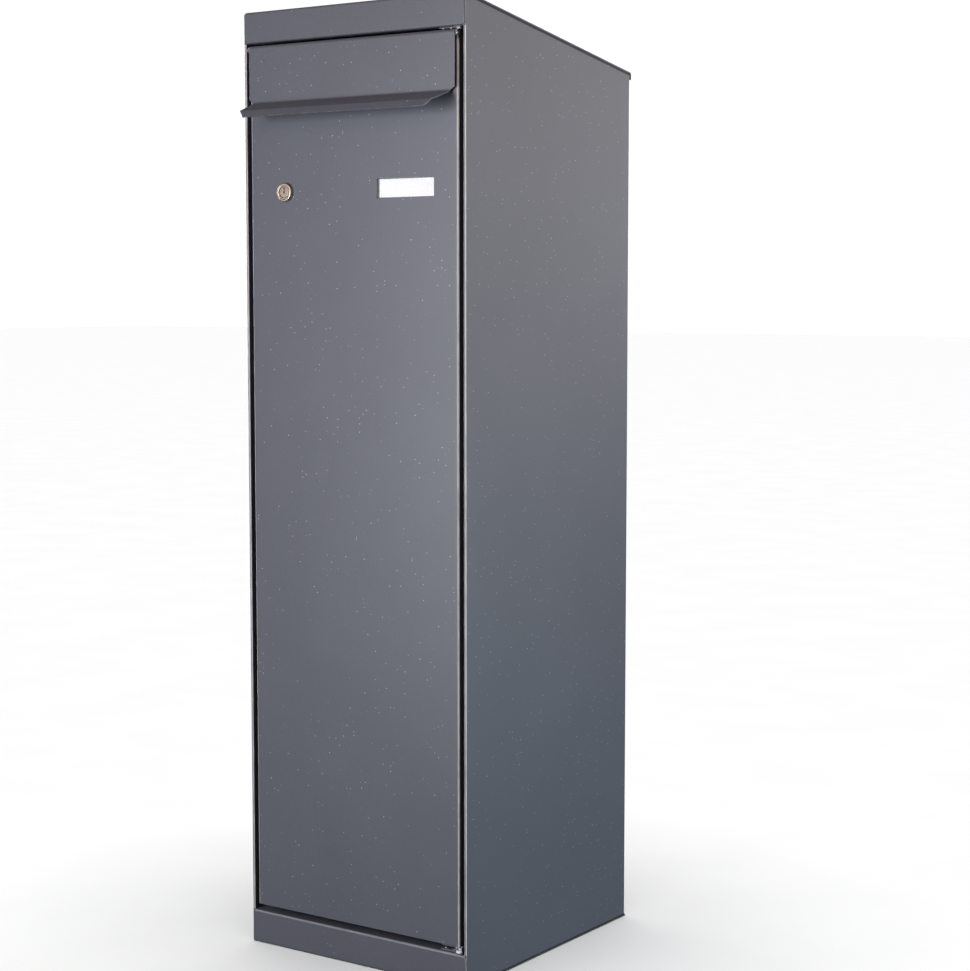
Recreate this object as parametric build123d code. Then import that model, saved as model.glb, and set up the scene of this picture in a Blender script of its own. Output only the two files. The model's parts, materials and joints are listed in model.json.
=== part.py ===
"""Free-standing parcel and letter box in folded sheet steel.

Frame: origin on the floor at the centre of the 300 x 325 footprint, +X to the right as the
door is faced, +Y to the rear, +Z up. All sizes are millimetres. Depths named in the pieces
are counted from the front plane towards the rear, through the helper `back(depth)`.
"""

from build123d import *
import math
import os

# ---------------------------------------------------------------- overall sizes
WIDTH = 300.0
DEPTH = 325.0
FRONT_HEIGHT = 1045.0
ROOF_DROP = 55.0  # fall of the roof from the front edge to the rear

# ---------------------------------------------------------------- sheet and bends
SHEET = 1.2  # housing sheet
DOOR_SHEET = 1.5
BEND = 2.5  # outer radius of the housing bends
TOUCH = 0.2  # air left between parts that lie side by side

# ---------------------------------------------------------------- front bands
FASCIA_HEIGHT = 34.5
PLINTH_HEIGHT = 37.0
BAND_NOTCH_X = 5.0  # bend relief at the door side of each band
BAND_NOTCH_Z = 3.5
ROOF_CORNER_R = 7.0
PLINTH_CORNER_R = 4.0
FASCIA_RETURN = 14.0
PLINTH_RETURN = 22.0
SKIRT_HEIGHT = 14.0  # inner lips of roof and base that the sides lap over
SKIRT_FRONT = 32.0

# ---------------------------------------------------------------- roof and base edges
ROOF_OVERHANG = 2.5
ROOF_DRIP = 8.0
ROOF_SEAL = 3.0
BASE_SEAL = 2.0
BASE_OVERHANG = 1.5
BASE_UPSTAND = 20.0

# ---------------------------------------------------------------- side panels
HEM = 3.2  # thickness of the hemmed front edge
HEM_SETBACK = 0.8
STOP_AIR = 3.5  # room for the rubber buffers between the door and its stop
STOP_RIGHT = 10.0
STOP_LEFT = 19.0
REAR_FLANGE = 15.0

# ---------------------------------------------------------------- back panel and anchors
BACK_EDGE_GAP = 2.0
WALL_HOLE_R = 4.0
WALL_HOLE_DX = 200.0
WALL_HOLE_DZ = 600.0
WALL_HOLE_FROM_TOP = 140.0
ANCHOR_HOLE_R = 4.5
ANCHOR_DX = 210.0
ANCHOR_DY = 220.0
BACK_RIVETS_PER_SIDE = 6
BACK_RIVET_END = 60.0  # last rivet to the foot and to the rear edge of the roof

# ---------------------------------------------------------------- door
DOOR_GAP = 5.8  # between the door and each hemmed edge
DOOR_BOTTOM_GAP = 8.0
DOOR_FACE = 0.5  # depth of the outer face
DOOR_THICK = 20.0
DOOR_BEND = 3.0
DOOR_LIP = 10.0
DOOR_END_INSET = 2.5  # end flanges of the tray to its rear

# ---------------------------------------------------------------- slot and its flap
SLOT_SIDE = 16.0  # slot to each edge of the door
SLOT_FROM_TOP = 6.0
SLOT_HEIGHT = 42.0
SLOT_CORNER_R = 5.0
TRIM_WALL = 1.6
TRIM_LAP = 2.2
ROD_R = 2.0
RUN_GAP = 0.08  # radial clearance of everything that turns
ROD_AIR = 0.62  # between the flap's curl and the brackets' feet
ROD_METAL = 0.9  # metal of the lugs and clips round the rod
FLAP_SIDE_GAP = 2.1  # flap end to door edge
FLAP_SHEET = 1.5
FLAP_LAP = 5.0  # how far the flap reaches below the slot
GRIP_OUT = 27.0
GRIP_DROP = 9.5
GRIP_LIP_OUT = 5.4
GRIP_LIP_DROP = 7.5
GRIP_CHAMFER_X = 6.2
GRIP_CHAMFER_Z = 4.0
GRIP_TAPER = 3.8
GRIP_LIP_TAPER = 8.5
CLIP_THICK = 0.9
ROD_PAST_CLIP = 0.3
FOOT_AIR = 1.0  # between the curl and the foot of each bracket
LUG_PAST_CURL = 2.0
BUMPER_R = 3.0
BUMPER_AIR = 0.28  # between the bumper and the closed flap
BUMPER_RISE = 12.0

# ---------------------------------------------------------------- door pivots
PIVOT_FROM_DOOR_EDGE = 0.5
PIVOT_DEPTH = 1.5
TOP_PIN_R = 1.5
BOTTOM_PIN_R = 2.0
PIVOT_PLATE = 1.2
BOTTOM_PLATE = 1.5
HINGE_PLATE = 3.0
BUSH_WALL = 0.9
EYE_WALL = 0.92
COLLAR_LIP = 0.4  # how far the bush's collar stands out from its sleeve
HINGE_FOOT = 26.0  # reach of every hinge foot along the door's edge
HINGE_FOOT_DEPTH = 16.5
FOOT_SETBACK = 5.0  # front of the hinge feet beside their noses
HINGE_RIVET_NEAR = 12.8  # nearer rivet of each hinge foot to the pivot
UPPER_RIVET_DEPTH = 9.1
BRACKET_INSET = 2.0  # bracket foot to the rear of the door
BRACKET_RIVET_SHIFT = 1.0
TAB_THICK = 1.6
TAB_RISE = 0.8  # from the top of the lugs to the pivot tab
TAB_EYE_WALL = 1.6
TAB_MARGIN = 2.0
RISER_DEPTH = 3.5
FLAP_END_AIR = 0.4  # between the flap's end and the pivot tab
PIVOT_AIR = 0.3
PIN_MARGIN = 0.3  # metal left in front of each pivot pin
PLATE_MARGIN = 1.0  # pivot plate past the hinge foot below it
PLATE_INSET = 2.0  # lower pivot plate to the rear of the plinth's return

# ---------------------------------------------------------------- lock
LOCK_FROM_EDGE = 49.8
LOCK_FROM_TOP = 150.5
LOCK_FLANGE_R = 10.3
LOCK_FLANGE = 4.1
LOCK_BODY_R = 8.0
PLUG_R = 6.0
PLUG_RECESS = 0.6
LOCK_DISH = 1.8  # width of the dished ring round the plug
KEYWAY_WIDTH = 1.7
KEYWAY_HEIGHT = 6.5
KEYWAY_DEPTH = 9.0
KEYWAY_DROP = 1.3  # how far the keyway reaches below the plug's centre
PLUG_NECK = 1.0  # step from the plug to the neck behind the lock body
NUT_THICK = 4.0
NUT_R = 12.0
CAM_AIR = 0.7  # between the cam and the back of the door stop
CAM_NECK = 2.9  # end of the lock body to the cam
CAM_THICK = 2.0
CAM_BITE = 8.4  # how far the cam reaches behind the stop
CAM_WIDTH = 15.0
CAM_SQUARE = 6.4
CAM_SCREW_R = 2.0
WASHER_R = 5.2
WASHER_THICK = 0.8
SCREW_HEAD_R = 3.8
SCREW_HEAD = 2.4
SCREW_HEAD_FILLET = 1.0
CROSS_ARM = 2.2
CROSS_WIDTH = 0.8
CROSS_DEPTH = 1.2

# ---------------------------------------------------------------- name plate
NAME_FROM_EDGE = 69.0
NAME_FROM_TOP = 149.5
NAME_WIDTH = 75.0
NAME_HEIGHT = 21.0
NAME_LAP = 1.0  # window and card past the opening
HOLDER_WALL = 2.0
WINDOW_THICK = 2.0
CARD_THICK = 0.5
CARD_MARGIN = 0.9  # card inside the opening, all round

# ---------------------------------------------------------------- door inside
HAT_SHEET = 1.0
HAT_BEND = 1.5
HAT_HEIGHT = 12.0
HAT_CROWN = 24.0
HAT_FOOT = 10.0
HAT_FOOT_GAP = 15.0  # from the door's bottom edge
HAT_END_GAP = 13.0  # to the level channel
RAIL_DROP = 35.0  # middle of the level channel below the slot
RAIL_SIDE_GAP = 12.0

# ---------------------------------------------------------------- guard behind the slot
GUARD_SETBACK = 16.0  # behind the door stops
GUARD_SHELF = 12.0
GUARD_REACH = 150.0
GUARD_DROP = 15.0  # below the slot
GUARD_FALL = 67.0
GUARD_LIP = 12.0

# ---------------------------------------------------------------- small hardware
RIVET_R = 1.6
RIVET_HEAD_R = 3.0
RIVET_HEAD = 1.0
BUFFER_R = 3.2
BUFFER_AIR = 0.3
BUFFER_FROM_BOTTOM = 105.0
BUFFER_FROM_TOP = 118.0
CUT = 5.0  # how far cutting bodies run past what they cut

# ---------------------------------------------------------------- worked out from the above
HALF = WIDTH / 2
FRONT = -DEPTH / 2
REAR_HEIGHT = FRONT_HEIGHT - ROOF_DROP
SLOPE = ROOF_DROP / DEPTH
ROOF_FALL = SHEET * math.sqrt(1 + SLOPE**2)  # roof sheet, measured upright
SKIN_IN = HALF - SHEET  # inner face of a side panel
SKIRT_OUT = SKIN_IN - TOUCH
HEM_IN = HALF - HEM
DOOR_HALF = HEM_IN - DOOR_GAP
DOOR_BOTTOM = PLINTH_HEIGHT + DOOR_BOTTOM_GAP
DOOR_REAR = DOOR_FACE + DOOR_THICK
DOOR_BACK_FACE = DOOR_FACE + DOOR_SHEET
STOP_DEPTH = DOOR_REAR + STOP_AIR  # front face of the door stops
FLAP_HALF = DOOR_HALF - FLAP_SIDE_GAP
CURL_IN = ROD_R + RUN_GAP
CURL_OUT = CURL_IN + FLAP_SHEET
CLIP_R = ROD_R + ROD_METAL
LUG_HEIGHT = ROD_R + ROD_METAL  # metal above the rod centre
PIVOT_X = DOOR_HALF - PIVOT_FROM_DOOR_EDGE
BUSH_R = BOTTOM_PIN_R + RUN_GAP + BUSH_WALL
HINGE_EYE_R = BUSH_R + EYE_WALL
FASCIA_BOTTOM = FRONT_HEIGHT - FASCIA_HEIGHT
TAB_TOP = FASCIA_BOTTOM - PIVOT_PLATE - PIVOT_AIR
TAB_BOTTOM = TAB_TOP - TAB_THICK
LUG_TOP = TAB_BOTTOM - TAB_RISE
ROD_Z = LUG_TOP - LUG_HEIGHT
DOOR_TOP = ROD_Z - CURL_OUT - ROD_AIR - DOOR_SHEET
FOOT_RIVET_DEPTH = DOOR_REAR / 2
BRACKET_RIVET_DEPTH = FOOT_RIVET_DEPTH + BRACKET_RIVET_SHIFT
SLOT_WIDTH = 2 * (DOOR_HALF - SLOT_SIDE)
SLOT_TOP = DOOR_TOP - SLOT_FROM_TOP
SLOT_BOTTOM = SLOT_TOP - SLOT_HEIGHT
FLAP_FOLD_Z = SLOT_BOTTOM - FLAP_LAP
BUMPER_Z = SLOT_BOTTOM + BUMPER_RISE
BUMPER_HEIGHT = DOOR_FACE + CURL_IN - BUMPER_AIR
LOCK_X = LOCK_FROM_EDGE - DOOR_HALF
LOCK_Z = DOOR_TOP - LOCK_FROM_TOP
CAM_DEPTH = STOP_DEPTH + SHEET + CAM_AIR
CAM_REACH = LOCK_FROM_EDGE + DOOR_GAP - STOP_LEFT + CAM_BITE
LOCK_BODY_END = CAM_DEPTH - CAM_NECK
NAME_X = DOOR_HALF - NAME_FROM_EDGE
NAME_Z = DOOR_TOP - NAME_FROM_TOP
HAT_WIDE = HAT_CROWN / 2 + HAT_FOOT
RAIL_Z = SLOT_BOTTOM - RAIL_DROP
HAT_BOTTOM = DOOR_BOTTOM + HAT_FOOT_GAP
HAT_TOP = RAIL_Z - HAT_WIDE - HAT_END_GAP
GUARD_FRONT = STOP_DEPTH + GUARD_SETBACK
GUARD_REAR = GUARD_FRONT + GUARD_REACH
GUARD_TOP_Z = SLOT_BOTTOM - GUARD_DROP
GUARD_LOW_Z = GUARD_TOP_Z - GUARD_FALL
BUFFER_HEIGHTS = (DOOR_BOTTOM + BUFFER_FROM_BOTTOM, DOOR_TOP - BUFFER_FROM_TOP)
HEM_BOTTOM = PLINTH_HEIGHT + PIVOT_AIR
HEM_TOP = FASCIA_BOTTOM - PIVOT_AIR
SIDE_BOTTOM = SHEET + BASE_SEAL
BACK_REAR = DEPTH - SHEET  # depth of the back panel's rear face
BACK_FACE = BACK_REAR - SHEET


def back(depth):
    """Y of a depth counted from the front plane."""
    return FRONT + depth


def roof_z(depth):
    """Height of the roof's top face at a depth."""
    return FRONT_HEIGHT - SLOPE * depth


# ================================================================ building helpers
def block(x0, x1, d0, d1, z0, z1):
    """A box between two X values, two depths and two heights."""
    centre = Pos((x0 + x1) / 2, back((d0 + d1) / 2), (z0 + z1) / 2)
    return centre * Box(x1 - x0, d1 - d0, z1 - z0)


def side_prism(points, x0, x1):
    """A (depth, z) outline run along X."""
    outline = Polyline(*[(x0, back(d), z) for d, z in points], close=True)
    return extrude(make_face(outline), x1 - x0, dir=(1, 0, 0))


def front_prism(points, d0, d1):
    """An (x, z) outline run along Y."""
    outline = Polyline(*[(x, back(d0), z) for x, z in points], close=True)
    return extrude(make_face(outline), d1 - d0, dir=(0, 1, 0))


def plan_prism(points, z0, z1):
    """An (x, depth) outline run along Z."""
    outline = Polyline(*[(x, back(d), z0) for x, d in points], close=True)
    return extrude(make_face(outline), z1 - z0, dir=(0, 0, 1))


def upright(radius, z0, z1, x, depth):
    """A cylinder along Z."""
    return Pos(x, back(depth), (z0 + z1) / 2) * Cylinder(radius, z1 - z0)


def rod_y(radius, d0, d1, x, z):
    """A cylinder along Y."""
    return Pos(x, back((d0 + d1) / 2), z) * Rot(90, 0, 0) * Cylinder(radius, d1 - d0)


def rod_x(radius, x0, x1, depth, z):
    """A cylinder along X."""
    return Pos((x0 + x1) / 2, back(depth), z) * Rot(0, 90, 0) * Cylinder(radius, x1 - x0)


def folded(points, radii, thickness, side):
    """Face of a bent sheet: one surface drawn as a rounded line, the other set off from it."""
    line = FilletPolyline(*points, radius=radii)
    return make_face(offset(line, amount=thickness, side=side))


def folded_plan(points, radii, thickness, side, z0, z1):
    """Bent sheet with its section in plan, running up from z0 to z1."""
    face = folded([(x, back(d)) for x, d in points], radii, thickness, side)
    return Pos(0, 0, z0) * extrude(face, z1 - z0)


def folded_side(points, radii, thickness, side, x0, x1):
    """Bent sheet with its section seen from the side, running from x0 to x1."""
    face = folded([(back(d), z) for d, z in points], radii, thickness, side)
    return Pos(x0, 0, 0) * extrude(Plane.YZ * face, x1 - x0)


def both_sides(shape):
    """A shape and its mirror image across the middle plane."""
    return shape + mirror(shape, about=Plane.YZ)


def corner_cutter(radius, x, z, dx, dz, d0, d1):
    """What a rounded corner takes off a square one; (x, z) is the square corner."""
    square = block(
        min(x, x - dx * radius) - (CUT if dx < 0 else 0),
        max(x, x - dx * radius) + (CUT if dx > 0 else 0),
        d0,
        d1,
        min(z, z - dz * radius) - (CUT if dz < 0 else 0),
        max(z, z - dz * radius) + (CUT if dz > 0 else 0),
    )
    return square - rod_y(radius, d0 - CUT, d1 + CUT, x - dx * radius, z - dz * radius)


def front_edge_cutter(z0, z1):
    """Rounds both upright front corners of the housing between two heights."""
    square = block(HALF - BEND, HALF + CUT, -CUT, BEND, z0, z1)
    return both_sides(square - upright(BEND, z0 - CUT, z1 + CUT, HALF - BEND, BEND))


def rivet(x, depth, head_z, grip, up):
    """Blind rivet along Z: head outside at head_z, shank through the grip, bulb beyond it."""
    sign = 1 if up else -1
    ends = sorted((head_z, head_z - sign * RIVET_HEAD))
    head = upright(RIVET_HEAD_R, ends[0], ends[1], x, depth)
    head = fillet(head.edges().group_by(Axis.Z)[0 if up else -1], RIVET_HEAD * 0.6)
    far = head_z + sign * grip
    ends = sorted((head_z, far))
    shank = upright(RIVET_R, ends[0], ends[1], x, depth)
    ends = sorted((far, far + sign * RIVET_HEAD))
    return head + shank + upright(RIVET_HEAD_R * 0.8, ends[0], ends[1], x, depth)


def rivet_hole(x, depth, z0, z1):
    """Bore that a rivet's shank fills."""
    return upright(RIVET_R, z0 - TOUCH, z1 + TOUCH, x, depth)


# ================================================================ housing
def side_panel(stop_width):
    """Right-hand side: rear flange, skin, hemmed front edge and door stop."""
    skin = folded_plan(
        [(HALF - REAR_FLANGE, DEPTH), (HALF, DEPTH), (HALF, SHEET + TOUCH)],
        [BEND],
        SHEET,
        Side.RIGHT,
        SIDE_BOTTOM,
        FRONT_HEIGHT,
    )
    skin -= front_edge_cutter(0, FRONT_HEIGHT + CUT)
    hem_r = HEM / 2 - TOUCH / 4
    front = folded_plan(
        [
            (HALF, STOP_DEPTH * 2),
            (HALF, HEM_SETBACK),
            (HEM_IN, HEM_SETBACK),
            (HEM_IN, STOP_DEPTH),
            (HEM_IN - stop_width, STOP_DEPTH),
        ],
        [hem_r, hem_r, SHEET],
        SHEET,
        Side.RIGHT,
        HEM_BOTTOM,
        HEM_TOP,
    )
    top = [
        (-CUT, roof_z(-CUT) - ROOF_FALL - ROOF_SEAL),
        (DEPTH + CUT, roof_z(DEPTH + CUT) - ROOF_FALL - ROOF_SEAL),
        (DEPTH + CUT, FRONT_HEIGHT + CUT),
        (-CUT, FRONT_HEIGHT + CUT),
    ]
    panel = skin - block(SKIN_IN - TOUCH, HALF + CUT, 0, STOP_DEPTH, HEM_BOTTOM, HEM_TOP) + front
    panel -= side_prism(top, HALF - REAR_FLANGE - CUT, HALF + CUT)
    for z in rivet_rows():
        panel -= rod_y(RIVET_R, BACK_FACE - CUT, DEPTH + CUT, HALF - REAR_FLANGE / 2, z)
        panel -= back_rivet_sink(HALF - REAR_FLANGE / 2, z)
    return panel


def rivet_rows():
    """Heights of the rivets that hold the back panel."""
    low, high = BACK_RIVET_END, REAR_HEIGHT - BACK_RIVET_END
    step = (high - low) / (BACK_RIVETS_PER_SIDE - 1)
    return [low + step * i for i in range(BACK_RIVETS_PER_SIDE)]


def back_rivet_sink(x, z):
    """Countersink whose rim is flush with the housing's rear plane."""
    depth_mid = DEPTH - SHEET / 2
    cone = Cone(RIVET_R, RIVET_HEAD_R, SHEET)
    return Pos(x, back(depth_mid), z) * Rot(-90, 0, 0) * cone


def back_panel():
    """Flat back, inside the rear flanges, with four wall holes."""
    half = SKIRT_OUT - BACK_EDGE_GAP
    top = roof_z(BACK_REAR) - ROOF_FALL - ROOF_SEAL - TOUCH
    panel = block(-half, half, BACK_FACE, BACK_REAR, SIDE_BOTTOM, top)
    high = REAR_HEIGHT - WALL_HOLE_FROM_TOP
    for x in (-WALL_HOLE_DX / 2, WALL_HOLE_DX / 2):
        for z in (high - WALL_HOLE_DZ, high):
            panel -= rod_y(WALL_HOLE_R, BACK_FACE - CUT, BACK_REAR + CUT, x, z)
    for x in (-HALF + REAR_FLANGE / 2, HALF - REAR_FLANGE / 2):
        for z in rivet_rows():
            panel -= rod_y(RIVET_R, BACK_FACE - CUT, BACK_REAR + CUT, x, z)
    return panel


def back_rivets():
    """Countersunk rivets through each rear flange and the back panel."""
    rivets = []
    for x in (-HALF + REAR_FLANGE / 2, HALF - REAR_FLANGE / 2):
        for z in rivet_rows():
            shank = rod_y(RIVET_R, BACK_FACE, DEPTH, x, z)
            bulb = rod_y(RIVET_HEAD_R * 0.8, BACK_FACE - RIVET_HEAD, BACK_FACE, x, z)
            rivets.append(shank + bulb + back_rivet_sink(x, z))
    return Compound(rivets)


def roof_cap():
    """Sloping roof with the front fascia, a rear drip edge and inner skirts."""
    rear = DEPTH + ROOF_OVERHANG
    cap = folded_side(
        [
            (FASCIA_RETURN, FASCIA_BOTTOM),
            (0, FASCIA_BOTTOM),
            (0, FRONT_HEIGHT),
            (rear, roof_z(rear)),
            (rear, roof_z(rear) - ROOF_DRIP),
        ],
        [BEND, BEND, BEND],
        SHEET,
        Side.RIGHT,
        -HALF,
        HALF,
    )
    under = SHEET + TOUCH / 2
    rear_cut, top_cut = FASCIA_RETURN + CUT, FASCIA_BOTTOM + BEND * 2
    cap -= both_sides(block(SKIRT_OUT, HALF + CUT, under, rear_cut, 0, top_cut))
    skirt = [
        (SKIRT_FRONT, roof_z(SKIRT_FRONT) - SHEET),
        (BACK_FACE - CUT, roof_z(BACK_FACE - CUT) - SHEET),
        (BACK_FACE - CUT, roof_z(BACK_FACE - CUT) - SKIRT_HEIGHT),
        (SKIRT_FRONT, roof_z(SKIRT_FRONT) - SKIRT_HEIGHT),
    ]
    cap += both_sides(side_prism(skirt, SKIRT_OUT - SHEET, SKIRT_OUT))
    cap -= front_edge_cutter(FASCIA_BOTTOM - CUT, FRONT_HEIGHT + CUT)
    for side in (-1, 1):
        cap -= corner_cutter(ROOF_CORNER_R, side * HALF, FRONT_HEIGHT, side, 1, -CUT, BEND)
    inner, low = HALF - ROOF_CORNER_R, FRONT_HEIGHT - ROOF_CORNER_R
    plan = block(inner, HALF + CUT, BEND, ROOF_CORNER_R, low, FRONT_HEIGHT)
    plan -= upright(ROOF_CORNER_R, 0, FRONT_HEIGHT + CUT, HALF - ROOF_CORNER_R, ROOF_CORNER_R)
    cap -= both_sides(plan)
    notch = [
        (HALF - BAND_NOTCH_X, FASCIA_BOTTOM - CUT),
        (HALF - BAND_NOTCH_X, FASCIA_BOTTOM),
        (HALF, FASCIA_BOTTOM + BAND_NOTCH_Z),
        (HALF + CUT, FASCIA_BOTTOM + BAND_NOTCH_Z),
        (HALF + CUT, FASCIA_BOTTOM - CUT),
    ]
    cap -= both_sides(front_prism(notch, -CUT, SHEET + TOUCH / 2))
    for x in hinge_rivet_xs():
        cap -= rivet_hole(x, UPPER_RIVET_DEPTH, FASCIA_BOTTOM, FASCIA_BOTTOM + SHEET)
    return cap


def roof_seal():
    """Rubber strips between the roof and the tops of both sides."""
    start, end = ROOF_CORNER_R + 1, DEPTH
    low = ROOF_FALL + ROOF_SEAL
    strip = [
        (start, roof_z(start) - low),
        (end, roof_z(end) - low),
        (end, roof_z(end) - ROOF_FALL),
        (start, roof_z(start) - ROOF_FALL),
    ]
    right = side_prism(strip, SKIRT_OUT + TOUCH / 2, HALF - TOUCH)
    return Compound([right, mirror(right, about=Plane.YZ)])


def base_pan():
    """Floor with the front plinth, inner lips and four anchor holes."""
    pan = folded_side(
        [(PLINTH_RETURN, PLINTH_HEIGHT), (0, PLINTH_HEIGHT), (0, 0), (DEPTH + BASE_OVERHANG, 0)],
        [BEND, BEND],
        SHEET,
        Side.LEFT,
        -HALF,
        HALF,
    )
    under = SHEET + TOUCH / 2
    rear_cut, top_cut = PLINTH_RETURN + CUT, PLINTH_HEIGHT + CUT
    pan -= both_sides(block(SKIRT_OUT, HALF + CUT, under, rear_cut, SHEET, top_cut))
    lip_end = BACK_FACE - SHEET - CUT
    lip = block(SKIRT_OUT - SHEET, SKIRT_OUT, SKIRT_FRONT, lip_end, SHEET / 2, SKIRT_HEIGHT)
    pan += both_sides(lip)
    half = SKIRT_OUT - BACK_EDGE_GAP
    pan += block(-half, half, BACK_FACE - SHEET, BACK_FACE, SHEET / 2, BASE_UPSTAND)
    pan -= front_edge_cutter(-CUT, PLINTH_HEIGHT + CUT)
    for side in (-1, 1):
        pan -= corner_cutter(PLINTH_CORNER_R, side * HALF, 0, side, -1, -CUT, SHEET + TOUCH / 2)
    notch = [
        (HALF - BAND_NOTCH_X, PLINTH_HEIGHT + CUT),
        (HALF - BAND_NOTCH_X, PLINTH_HEIGHT),
        (HALF, PLINTH_HEIGHT - BAND_NOTCH_Z),
        (HALF + CUT, PLINTH_HEIGHT - BAND_NOTCH_Z),
        (HALF + CUT, PLINTH_HEIGHT + CUT),
    ]
    pan -= both_sides(front_prism(notch, -CUT, SHEET + TOUCH / 2))
    for x in (-ANCHOR_DX / 2, ANCHOR_DX / 2):
        for y in (-ANCHOR_DY / 2, ANCHOR_DY / 2):
            pan -= Pos(x, y, 0) * Cylinder(ANCHOR_HOLE_R, SHEET * 4)
    for x in hinge_rivet_xs():
        pan -= rivet_hole(x, PLINTH_RETURN / 2, PLINTH_HEIGHT - SHEET, PLINTH_HEIGHT)
    return pan


def base_seal():
    """Rubber strips between the floor and the bottoms of both sides."""
    right = block(SKIRT_OUT + TOUCH / 2, HALF - TOUCH, BEND + 1, DEPTH, SHEET, SIDE_BOTTOM)
    return Compound([right, mirror(right, about=Plane.YZ)])


def hinge_rivet_xs():
    """X of the two rivets in each hinge foot."""
    return (PIVOT_X - HINGE_FOOT + RIVET_HEAD_R, PIVOT_X - HINGE_RIVET_NEAR)


def pivot_plate(pin_r, rear, z0, z1):
    """Plate between two heights with a bored nose round a pivot pin."""
    left, right = PIVOT_X - HINGE_EYE_R, PIVOT_X + HINGE_EYE_R
    plate = block(PIVOT_X - HINGE_FOOT - PLATE_MARGIN, right, FOOT_SETBACK, rear, z0, z1)
    plate += block(left, right, PIVOT_DEPTH - pin_r - PIN_MARGIN, FOOT_SETBACK, z0, z1)
    return plate - upright(pin_r, z0 - CUT, z1 + CUT, PIVOT_X, PIVOT_DEPTH)


def upper_pivot_plate():
    """Plate under the fascia's return that carries the upper pivot pin."""
    bottom = FASCIA_BOTTOM - PIVOT_PLATE
    plate = pivot_plate(TOP_PIN_R, FASCIA_RETURN, bottom, FASCIA_BOTTOM)
    for x in hinge_rivet_xs():
        plate -= rivet_hole(x, UPPER_RIVET_DEPTH, bottom, FASCIA_BOTTOM)
    return plate


def upper_pivot_pin():
    """Short pin pointing down into the door's upper tab."""
    pin = upright(TOP_PIN_R, LUG_TOP + PIVOT_AIR, FASCIA_BOTTOM, PIVOT_X, PIVOT_DEPTH)
    return chamfer(pin.edges().group_by(Axis.Z)[0], TOP_PIN_R / 5)


def lower_pivot_plate():
    """Plate on the plinth's return that carries the lower pivot pin."""
    top = PLINTH_HEIGHT + BOTTOM_PLATE
    plate = pivot_plate(BOTTOM_PIN_R, PLINTH_RETURN - PLATE_INSET, PLINTH_HEIGHT, top)
    for x in hinge_rivet_xs():
        plate -= rivet_hole(x, PLINTH_RETURN / 2, PLINTH_HEIGHT, top)
    return plate


def lower_pivot_pin():
    """Pin pointing up through the door's lower bush."""
    pin = upright(BOTTOM_PIN_R, PLINTH_HEIGHT, DOOR_BOTTOM - TOUCH, PIVOT_X, PIVOT_DEPTH)
    return chamfer(pin.edges().group_by(Axis.Z)[-1], BOTTOM_PIN_R / 4)


def pivot_rivets():
    """Rivets of both pivot plates."""
    rivets = []
    for x in hinge_rivet_xs():
        under, over = FASCIA_BOTTOM - PIVOT_PLATE, PLINTH_HEIGHT + BOTTOM_PLATE
        rivets.append(rivet(x, UPPER_RIVET_DEPTH, under, PIVOT_PLATE + SHEET, True))
        rivets.append(rivet(x, PLINTH_RETURN / 2, over, BOTTOM_PLATE + SHEET, False))
    return Compound(rivets)


def door_buffers():
    """Rubber buffers on the door stops."""
    buffers = []
    right_x = HEM_IN - STOP_RIGHT + BUFFER_R
    for x in (-DOOR_HALF + DOOR_LIP / 2, right_x):
        for z in BUFFER_HEIGHTS:
            buffer = rod_y(BUFFER_R, DOOR_REAR + BUFFER_AIR, STOP_DEPTH, x, z)
            buffers.append(fillet(buffer.edges().group_by(Axis.Y)[0], BUFFER_R / 4))
    return Compound(buffers)


def retrieval_guard():
    """Sloping shelf behind the slot that keeps hands away from the mail."""
    guard = folded_side(
        [
            (GUARD_FRONT, GUARD_TOP_Z - GUARD_LIP),
            (GUARD_FRONT, GUARD_TOP_Z),
            (GUARD_FRONT + GUARD_SHELF, GUARD_TOP_Z),
            (GUARD_REAR, GUARD_LOW_Z),
            (GUARD_REAR, GUARD_LOW_Z - GUARD_LIP),
        ],
        [BEND] * 3,
        SHEET,
        Side.RIGHT,
        -SKIN_IN,
        SKIN_IN,
    )
    ear = [
        (GUARD_FRONT + GUARD_SHELF, GUARD_TOP_Z - SHEET / 2),
        (GUARD_REAR - SHEET, GUARD_LOW_Z - SHEET / 2),
        (GUARD_REAR - SHEET, GUARD_LOW_Z - GUARD_LIP),
        (GUARD_FRONT + GUARD_SHELF, GUARD_TOP_Z - GUARD_LIP),
    ]
    return guard + both_sides(side_prism(ear, SKIN_IN - SHEET, SKIN_IN))


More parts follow.
